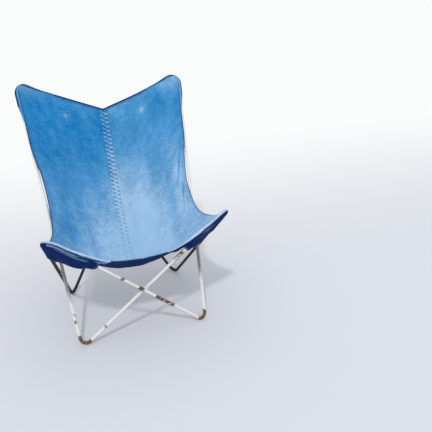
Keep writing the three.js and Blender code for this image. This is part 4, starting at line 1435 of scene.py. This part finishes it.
def binding(half, node, material, u, v, inner, masks):
    """Tape folded over an edge, from an inner line over and back, with its area and length."""
    tape, gap = half.sewing.tape, half.plan.sizes.gap
    clear = half.sling.cloth / 2 + 2 * gap
    nose_clear = 3 * gap
    ripple_height, ripple_pitch = 0.00025, 0.009
    edge = half.at(u, v)
    out = unit(edge - half.at(*inner(1.0)))
    run = run_along(edge, 0)
    ripple = ripple_height * np.sin(2 * np.pi * run / ripple_pitch)

    def fold(lift, reach):
        over = [half.at(*inner(part), lift + ripple) for part in np.linspace(1, 0, OVER_STEPS)]
        top, bottom = over[-1], half.at(u, v, -lift - ripple)
        middle, arm = (top + bottom) / 2, (top - bottom) / 2
        turns = np.linspace(math.pi / 2, -math.pi / 2, NOSE_STEPS + 2)[1:-1]
        nose = [middle + arm * math.sin(turn) + out * reach * math.cos(turn) for turn in turns]
        under = [half.at(*inner(part), -lift - ripple) for part in np.linspace(0, 1, OVER_STEPS)]
        return np.stack([*over, *nose, *under], axis=1)

    outer = fold(clear + tape, nose_clear + tape)
    points, faces = shell(outer, fold(clear, nose_clear))
    across = run_along(outer, 1)
    weave = np.stack([across, np.broadcast_to(run[:, None], across.shape)], axis=-1)
    values = {mask: twice(np.broadcast_to(value, across.shape)) for mask, value in masks.items()}
    piece = cloth_piece(f"{node}_tape", points, faces, twice(weave), **values)
    dress(piece, node, material)
    return piece, surface_area(outer), float(run[-1])


def hem_binding(half, is_top, colours):
    """The tape along a half's top edge or front hem, in to the pocket."""
    stations = BACK_STATIONS if is_top else half.own(FRONT_HEM_END)
    hem_length = (half.top if is_top else half.hem).length
    end = column_at(GRID_COLUMNS - stations) - half.sewing.pocket_clear / hem_length
    u = np.linspace(0, end, BINDING_STATIONS)
    v = np.full_like(u, 1.0 if is_top else 0.0)
    width = float(row_at(BINDING_CELLS))

    def inner(part):
        return u, 1 - width * part if is_top else width * part

    if is_top:
        node, slot, finish = f"top_binding_{half.name}", "navy_canvas", navy_canvas
        dark = np.concatenate([(0, 0.15, 0.7, 1, 1), np.ones(NOSE_STEPS + OVER_STEPS)])
    else:
        node, slot, finish = f"front_binding_{half.name}", "pale_tape", pale_tape
        dark = np.concatenate([np.zeros(OVER_STEPS), np.linspace(0, 0.8, NOSE_STEPS), np.ones(OVER_STEPS)])
    fade = panel_fade(half, u, mix(v, 0.5, 0.04))[:, None]
    material = named_material(finish, colours)
    return binding(half, node, material, u, v, inner, {"fade": fade, "dark": dark})


def side_binding(half, colours):
    """The tape along a half's free side edge, from pocket to pocket."""
    clear = half.sewing.pocket_clear / half.edge.length
    start, end = row_at([FRONT_ROWS, GRID_ROWS - BACK_STATIONS])
    v = np.linspace(start + clear, end - clear, BINDING_STATIONS)
    u = np.ones_like(v)
    width = 1 - float(column_at(GRID_COLUMNS - BINDING_CELLS))

    def inner(part):
        return 1 - width * part, v

    fade = panel_fade(half, u - 0.03, v)[:, None]
    dark = np.concatenate([(0, 0, 0.1, 0.35, 0.6), np.full(NOSE_STEPS, 0.8), np.ones(OVER_STEPS)])
    material = named_material(navy_canvas, colours)
    return binding(half, f"side_binding_{half.name}", material, u, v, inner,
                   {"fade": fade, "dark": dark})


def seam_ends():
    """Where the seam starts and ends, clear of the hems' bindings."""
    end = 1.25 * float(row_at(BINDING_CELLS))
    return end, 1 - end


def seam_base(half):
    """Height of the seam's underside above the middle of the cloth."""
    return half.sling.cloth / 2 + 1.5 * half.plan.sizes.gap


def beside_seam(halves, offset, v, lift):
    """Points beside the seam, at signed distances from the middle, lifted off the cloth."""
    offset, v, lift = np.broadcast_arrays(offset, v, lift)
    result = np.empty((*offset.shape, 3))
    for half in halves.values():
        mine = offset < 0 if half.side < 0 else offset >= 0
        u = np.abs(offset[mine]) / half.reach(v[mine])
        result[mine] = half.at(np.maximum(u, 1e-6), v[mine], lift[mine])
    return result


def seam_band(halves, material):
    """The centre seam, a folded band with rope-like puckers between its stitches, with its area. Its puckers
    carry painted light and shade.
    """
    half = halves["left"]
    sewing = half.sewing
    half_width = sewing.band_width / 2
    rows = np.linspace(*seam_ends(), SEAM_ROWS)
    v, offset = np.meshgrid(rows, np.linspace(-1, 1, SEAM_COLUMNS + 1) * half_width, indexing="ij")
    lane = offset / half_width
    run = v * half.middle.length / sewing.stitch_pitch
    gather = 0.5 + 0.5 * np.sin(2 * np.pi * (run + SEAM_LEAN * lane))
    on_row = hump(np.abs(lane) - (1 - sewing.stitch_inset / half_width), 0.3)
    middle = hump(lane, 0.25)
    crown = np.clip(1 - np.abs(lane) ** 6, 0.15, 1)
    top = sewing.band * crown + sewing.pucker * gather * (0.9 * on_row + 0.35 * middle)
    upper = beside_seam(halves, offset, v, seam_base(half) + top)
    lower = beside_seam(halves, offset, v, seam_base(half))
    points, faces = shell(upper, lower)
    beside = [panel_fade(halves[name], np.full_like(v, 0.06), v) for name in SIDES]
    # Painted light and shade of the puckers: lighter on the gathers by the stitch rows and in the middle,
    # darker between them.
    pale = 0.3 * (gather * np.maximum(on_row, middle) - 0.3)
    # The gathers' crests by the stitch rows are lighter: painted highlight, with a little rubbing in the worn
    # mask.
    crest = gather ** 3 * on_row
    fade = mix(*beside, smooth(lane, -0.7, 0.7)) + 0.1 + pale + 0.5 * crest
    # Painted shade in the grooves between the puckers by the stitch rows, stronger toward the top of the back.
    dark = 0.5 * (1 - gather) ** 2 * on_row * (0.2 + 0.8 * smooth(v, 0.25, 0.7))
    masks = {"fade": twice(fade), "dark": twice(dark), "worn": twice(0.15 * crest)}
    weave = np.stack([offset, v * half.middle.length], axis=-1)
    piece = cloth_piece("seam_band_tape", points, faces, twice(weave), **masks)
    dress(piece, "seam_band", material)
    return piece, surface_area(upper)


def stitch_shape(size):
    """One stitch, modelled once: a low ball drawn out along +X, as points and faces."""
    start_modelling()
    bpy.ops.mesh.primitive_uv_sphere_add(segments=8, ring_count=6, radius=0.5, rotation=(0, math.pi / 2, 0))
    ball = bpy.context.object
    settle()
    bpy.ops.object.mode_set(mode="EDIT")
    bpy.ops.mesh.select_all(action="SELECT")
    bpy.ops.transform.resize(value=size)
    bpy.ops.mesh.quads_convert_to_tris()
    bpy.ops.mesh.normals_make_consistent(inside=False)
    bpy.ops.object.mode_set(mode="OBJECT")
    points = points_of(ball)
    faces = np.array([polygon.vertices[:] for polygon in ball.data.polygons])
    bpy.data.objects.remove(ball)
    return points, faces


def stitched(node, shape, places, frames, fade, material):
    """Copies of one stitch set at places, each turned to its own axes, as one row of sewing."""
    points, faces = shape
    moved = np.einsum("nij,pj->npi", frames, points) + places[:, None]
    count = len(points)
    all_faces = (faces[None] + count * np.arange(len(places))[:, None, None]).reshape(-1, 3)
    weave = np.tile(points[:, :2], (len(places), 1))
    shades = np.repeat(fade, count)
    piece = cloth_piece(f"{node}_thread", moved.reshape(-1, 3), all_faces, weave, fade=shades)
    dress(piece, node, material)


def axes_on(halves, offset, v, lean):
    """Axes of the stitches beside the seam: along it with a lean, across it, and off the cloth."""
    step, reach = 0.002, 0.001
    along = unit(beside_seam(halves, offset, v + step, 0.0) - beside_seam(halves, offset, v - step, 0.0))
    across = beside_seam(halves, offset + reach, v, 0.0) - beside_seam(halves, offset - reach, v, 0.0)
    up = unit(np.cross(across, along))
    leaning = along * math.cos(lean) + np.cross(along, up) * math.sin(lean)
    return np.stack([leaning, np.cross(up, leaning), up], axis=-1)


def seam_stitching(halves, name, shape, material):
    """One of the seam's two rows of stitches, smaller and paler toward the front."""
    half = halves[name]
    sewing = half.sewing
    half_width = sewing.band_width / 2
    first, last = seam_ends()
    count = int(half.middle.length * (last - first) / sewing.stitch_pitch)
    inset = half.side * (half_width - sewing.stitch_inset)
    started = np.ceil(first * half.middle.length / sewing.stitch_pitch)
    run = started + np.arange(count) + 0.75 - SEAM_LEAN * inset / half_width
    v = np.clip(run * sewing.stitch_pitch / half.middle.length, first + 0.004, last - 0.004)
    offset = np.full_like(v, inset)
    places = beside_seam(halves, offset, v, seam_base(half) + sewing.band + 0.25 * sewing.stitch[2])
    dice = np.random.default_rng(5 + half.side)
    scale = dice.uniform(0.75, 1.1, count) * mix(0.7, 1.0, smooth(v, 0.15, 0.6))
    frames = axes_on(halves, offset, v, math.radians(34)) * scale[:, None, None]
    fade = np.clip(1 - 0.85 * smooth(v, 0.35, 0.85) + dice.uniform(-0.15, 0.3, count), 0, 1)
    stitched(f"seam_stitching_{name}", shape, places, frames, fade, material)


def bartack_spot(half):
    """Where a half's bartack is sewn."""
    out, below = half.sewing.bartack_place
    v = 1 - below / half.edge.length
    return out / float(half.reach(v)), v


def bartack(half, shape, material):
    """A short bar of close stitches where a back pocket's mouth meets the sling."""
    long, _, thick = half.sewing.bartack
    u0, v0 = bartack_spot(half)
    u = u0 + np.linspace(-0.5, 0.5, BARTACK_STITCHES) * long / half.top.length
    v = np.full_like(u, v0)
    step = 0.002
    places = half.at(u, v, half.sling.cloth / 2 + 2 * half.plan.sizes.gap + 0.5 * thick)
    along = unit(half.at(u, v + step) - half.at(u, v - step))
    up = half.normal(u, v)
    frames = np.stack([along, np.cross(up, along), up], axis=-1)
    stitched(f"bartack_{half.name}", shape, places, frames, np.ones(BARTACK_STITCHES), material)


# Operators.

def plans(context):
    """The frame plan, the two halves of the sling and the colours, from the scene's properties."""
    scene = context.scene
    plan = FramePlan(scene.chair_frame)
    sizes = plan, scene.chair_sling, scene.chair_sewing
    halves = {name: HalfSling(*sizes, side) for name, side in SIDES.items()}
    return plan, halves, scene.chair_colours


class CHAIR_OT_frame_loops(Operator):
    """Bends the two rod loops and wears their paint"""

    bl_idname = "chair.frame_loops"
    bl_label = "Frame loops"

    def execute(self, context):
        plan, _, colours = plans(context)
        for loop in SIDES:
            rod = bent_rod(plan, loop)
            points = points_of(rod)
            give_mask(rod, "wear", rod_wear(plan, points))
            # Dirt with painted shade on the back legs, and the sling's painted shadow on the front legs.
            give_mask(rod, "grime", rod_grime_and_shade(plan, points))
            # Painted shade on the rods' downward faces.
            give_mask(rod, "under", underside(rod))
            dress(rod, f"frame_loop_{loop}", named_material(chipped_paint, colours))
        return {"FINISHED"}


class CHAIR_OT_welds(Operator):
    """Lays weld beads in the nooks of the crossings and round the rods' joints"""

    bl_idname = "chair.welds"
    bl_label = "Welds"

    def execute(self, context):
        plan, _, colours = plans(context)
        material = named_material(weld_metal, colours)
        bead = weld_bead(plan)
        for where, (leg_a, leg_b, level) in plan.crossings().items():
            point, nook, spread, along = crossing(leg_a, leg_b, level)
            turn = Vector(along).to_track_quat("X", "Z").to_euler()
            reach = 0.8 * plan.sizes.bead / math.sin(spread)
            ends = {"right": 1, "left": -1} if level else {"upper": 1, "lower": -1}
            for end, sign in ends.items():
                node = f"weld_{where}_{end}"
                copy = copied(bead, f"{node}_bead")
                set_place(copy, point + nook * sign * reach, turn)
                dress(copy, node, material)
        bpy.data.objects.remove(bead)
        for loop in SIDES:
            self.butt_ring(plan, loop, material)
        return {"FINISHED"}

    def butt_ring(self, plan, loop, material):
        """A low uneven ring of weld round the joint of a rod's ends."""
        point, direction = plan.joint(loop)
        bead = plan.sizes.butt_bead
        around, thick = RING_SIDES
        start_modelling()
        bpy.ops.mesh.primitive_torus_add(location=point, rotation=facing(direction), major_segments=around,
                                         minor_segments=thick, major_radius=plan.sizes.rod / 2 + 0.6 * bead,
                                         minor_radius=1.1 * bead)
        ring = bpy.context.object
        ring.name = f"butt_weld_{loop}_ring"
        settle()
        ripple = bpy.data.textures.new(f"weld ripple {loop}", "CLOUDS")
        ripple.noise_scale = 0.004
        uneven = ring.modifiers.new("ripple", "DISPLACE")
        uneven.texture = ripple
        uneven.texture_coords = "GLOBAL"
        uneven.strength = 0.0008
        uneven.mid_level = 0.5
        bpy.ops.object.modifier_apply(modifier=uneven.name)
        bpy.ops.object.shade_smooth()
        dress(ring, f"butt_weld_{loop}", material)


class CHAIR_OT_sling(Operator):
    """Hangs the two canvas halves of the sling with their corner pockets"""

    bl_idname = "chair.sling"
    bl_label = "Sling and pockets"

    def execute(self, context):
        _, halves, colours = plans(context)
        washed = named_material(faded_canvas, colours)
        navy = named_material(navy_canvas, colours)
        for half in halves.values():
            panel, area = sling_panel(half, washed)
            for is_back in (True, False):
                piece, area = pocket(half, is_back, navy)
        return {"FINISHED"}


class CHAIR_OT_bindings(Operator):
    """Folds the binding tapes over the sling's free edges"""

    bl_idname = "chair.bindings"
    bl_label = "Edge bindings"

    def execute(self, context):
        _, halves, colours = plans(context)
        for half in halves.values():
            tapes = [hem_binding(half, is_top, colours) for is_top in (True, False)]
            tapes.append(side_binding(half, colours))
        return {"FINISHED"}


class CHAIR_OT_sewing(Operator):
    """Sews the centre seam with its two rows of stitches, and the bartacks"""

    bl_idname = "chair.sewing"
    bl_label = "Seam and stitches"

    def execute(self, context):
        _, halves, colours = plans(context)
        sewing = context.scene.chair_sewing
        band, area = seam_band(halves, named_material(pale_tape, colours))
        thread = named_material(sewing_thread, colours)
        stitch = stitch_shape(sewing.stitch)
        long, wide, thick = sewing.bartack
        bar = stitch_shape((wide, 1.3 * long / BARTACK_STITCHES, thick))
        for name, half in halves.items():
            seam_stitching(halves, name, stitch, thread)
            bartack(half, bar, thread)
        return {"FINISHED"}


class CHAIR_OT_stage(Operator):
    """Sets the floor, the light and the camera"""

    bl_idname = "chair.stage"
    bl_label = "Stage"

    # The camera's place before the frame's shift, its direction, and its focal length and width in pixels.
    eye = (-0.3222, -1.8905, 1.280)
    view = (0.328, 0.839, -0.433)
    focal_pixels = 498.4
    picture_width = 432

    # The key light's direction, strength, spread in degrees and colour.
    sun_direction = (0.34, 0.66, -1.0)
    sun_energy = 0.85
    sun_spread = 4
    sun_colour = (1.0, 0.985, 0.96)

    # The soft light from all round.
    soft_strength = 0.77
    soft_colour = (0.97, 0.985, 1.0)

    # The floor's size, and where it fades into the white backdrop, behind the chair and all round it.
    floor_size = 80
    fade_behind = (-0.1, 2.2)
    fade_around = (1.8, 5.0)
    faded_colour = (0.96, 0.965, 0.97)

    def execute(self, context):
        plan, _, colours = plans(context)
        scene = context.scene
        self.make_floor(colours)
        self.make_light(scene)
        camera = bpy.data.cameras.new("camera")
        camera.sensor_width = 36
        camera.lens = self.focal_pixels * camera.sensor_width / self.picture_width
        holder = bpy.data.objects.new("camera", camera)
        scene.collection.objects.link(holder)
        holder.location = np.array(self.eye) + plan.shift * np.array([1, 1, 0])
        holder.rotation_euler = Vector(self.view).to_track_quat("-Z", "Y").to_euler()
        scene.camera = holder
        scene.view_settings.view_transform = "Standard"
        return {"FINISHED"}

    @staticmethod
    def seen(tree):
        """1 for rays that show the backdrop to the camera, straight or by a glossy or clear surface."""
        paths = tree.add("ShaderNodeLightPath").outputs
        seen = tree.math("MAXIMUM", paths["Is Camera Ray"], paths["Is Glossy Ray"])
        return tree.math("MAXIMUM", seen, paths["Is Transmission Ray"])

    def make_floor(self, colours):
        start_modelling()
        bpy.ops.mesh.primitive_plane_add(size=self.floor_size, location=(0, 0, 0))
        floor = bpy.context.object
        floor.name = "floor"
        tree, shader, material = new_material("pale floor")
        set_sockets(shader, {"Base Color": rgba(colours.floor), "Roughness": 0.85,
                             "Specular IOR Level": 0.1})
        spot = tree.object_map()
        behind = tree.add("ShaderNodeSeparateXYZ", {0: spot}).outputs[1]
        around = tree.add("ShaderNodeVectorMath", {0: spot}, operation="LENGTH").outputs["Value"]
        backdrop = tree.math("MAXIMUM", tree.between(behind, *self.fade_behind),
                             tree.between(around, *self.fade_around))
        fading = tree.math("MULTIPLY", backdrop, self.seen(tree))
        faded = {"Color": rgba(self.faded_colour), "Strength": 1.0}
        white = tree.add("ShaderNodeEmission", faded).outputs[0]
        both = tree.add("ShaderNodeMixShader", {0: fading, 1: shader.outputs[0], 2: white}).outputs[0]
        tree.give(material.node_tree.nodes["Material Output"].inputs["Surface"], both)
        floor.data.materials.append(material)

    def make_light(self, scene):
        sun = bpy.data.lights.new("key light", "SUN")
        sun.energy = self.sun_energy
        sun.angle = math.radians(self.sun_spread)
        sun.color = self.sun_colour
        lamp = bpy.data.objects.new("key light", sun)
        scene.collection.objects.link(lamp)
        lamp.rotation_euler = Vector(self.sun_direction).to_track_quat("-Z", "Y").to_euler()
        world = bpy.data.worlds.new("soft studio")
        scene.world = world
        world.use_nodes = True
        tree = Tree(world.node_tree)
        soft = world.node_tree.nodes["Background"]
        set_sockets(soft, {"Color": rgba(self.soft_colour), "Strength": self.soft_strength})
        white = tree.add("ShaderNodeBackground", {"Color": (1, 1, 1, 1), "Strength": 1.0})
        both = tree.add("ShaderNodeMixShader", {0: self.seen(tree), 1: soft.outputs[0], 2: white.outputs[0]})
        tree.give(world.node_tree.nodes["World Output"].inputs["Surface"], both.outputs[0])


class CHAIR_PT_builder(Panel):
    """Lists the chair's pieces in the order in which they are made"""

    bl_idname = "CHAIR_PT_builder"
    bl_label = "Sling chair"
    bl_space_type = "VIEW_3D"
    bl_region_type = "UI"
    bl_category = "Sling chair"

    def draw(self, context):
        layout = self.layout
        for operator in OPERATORS:
            layout.operator(operator.bl_idname)
        for group in GROUPS:
            box = layout.box()
            values = getattr(context.scene, group)
            for name in values.bl_rna.properties.keys():
                if name not in ("rna_type", "name"):
                    box.prop(values, name)


OPERATORS = (CHAIR_OT_frame_loops, CHAIR_OT_welds, CHAIR_OT_sling, CHAIR_OT_bindings, CHAIR_OT_sewing,
             CHAIR_OT_stage)
GROUPS = {"chair_frame": FrameSizes, "chair_sling": SlingSizes, "chair_sewing": SewingSizes,
          "chair_colours": ChairColours}


def register():
    for group in GROUPS.values():
        bpy.utils.register_class(group)
    for name, group in GROUPS.items():
        setattr(bpy.types.Scene, name, PointerProperty(type=group))
    for operator in OPERATORS:
        bpy.utils.register_class(operator)
    bpy.utils.register_class(CHAIR_PT_builder)


def unregister():
    bpy.utils.unregister_class(CHAIR_PT_builder)
    for operator in reversed(OPERATORS):
        bpy.utils.unregister_class(operator)
    for name, group in GROUPS.items():
        delattr(bpy.types.Scene, name)
        bpy.utils.unregister_class(group)


def main():
    register()
    bpy.ops.chair.frame_loops()
    bpy.ops.chair.welds()
    bpy.ops.chair.sling()
    bpy.ops.chair.bindings()
    bpy.ops.chair.sewing()
    bpy.ops.chair.stage()


if __name__ == "__main__":
    main()
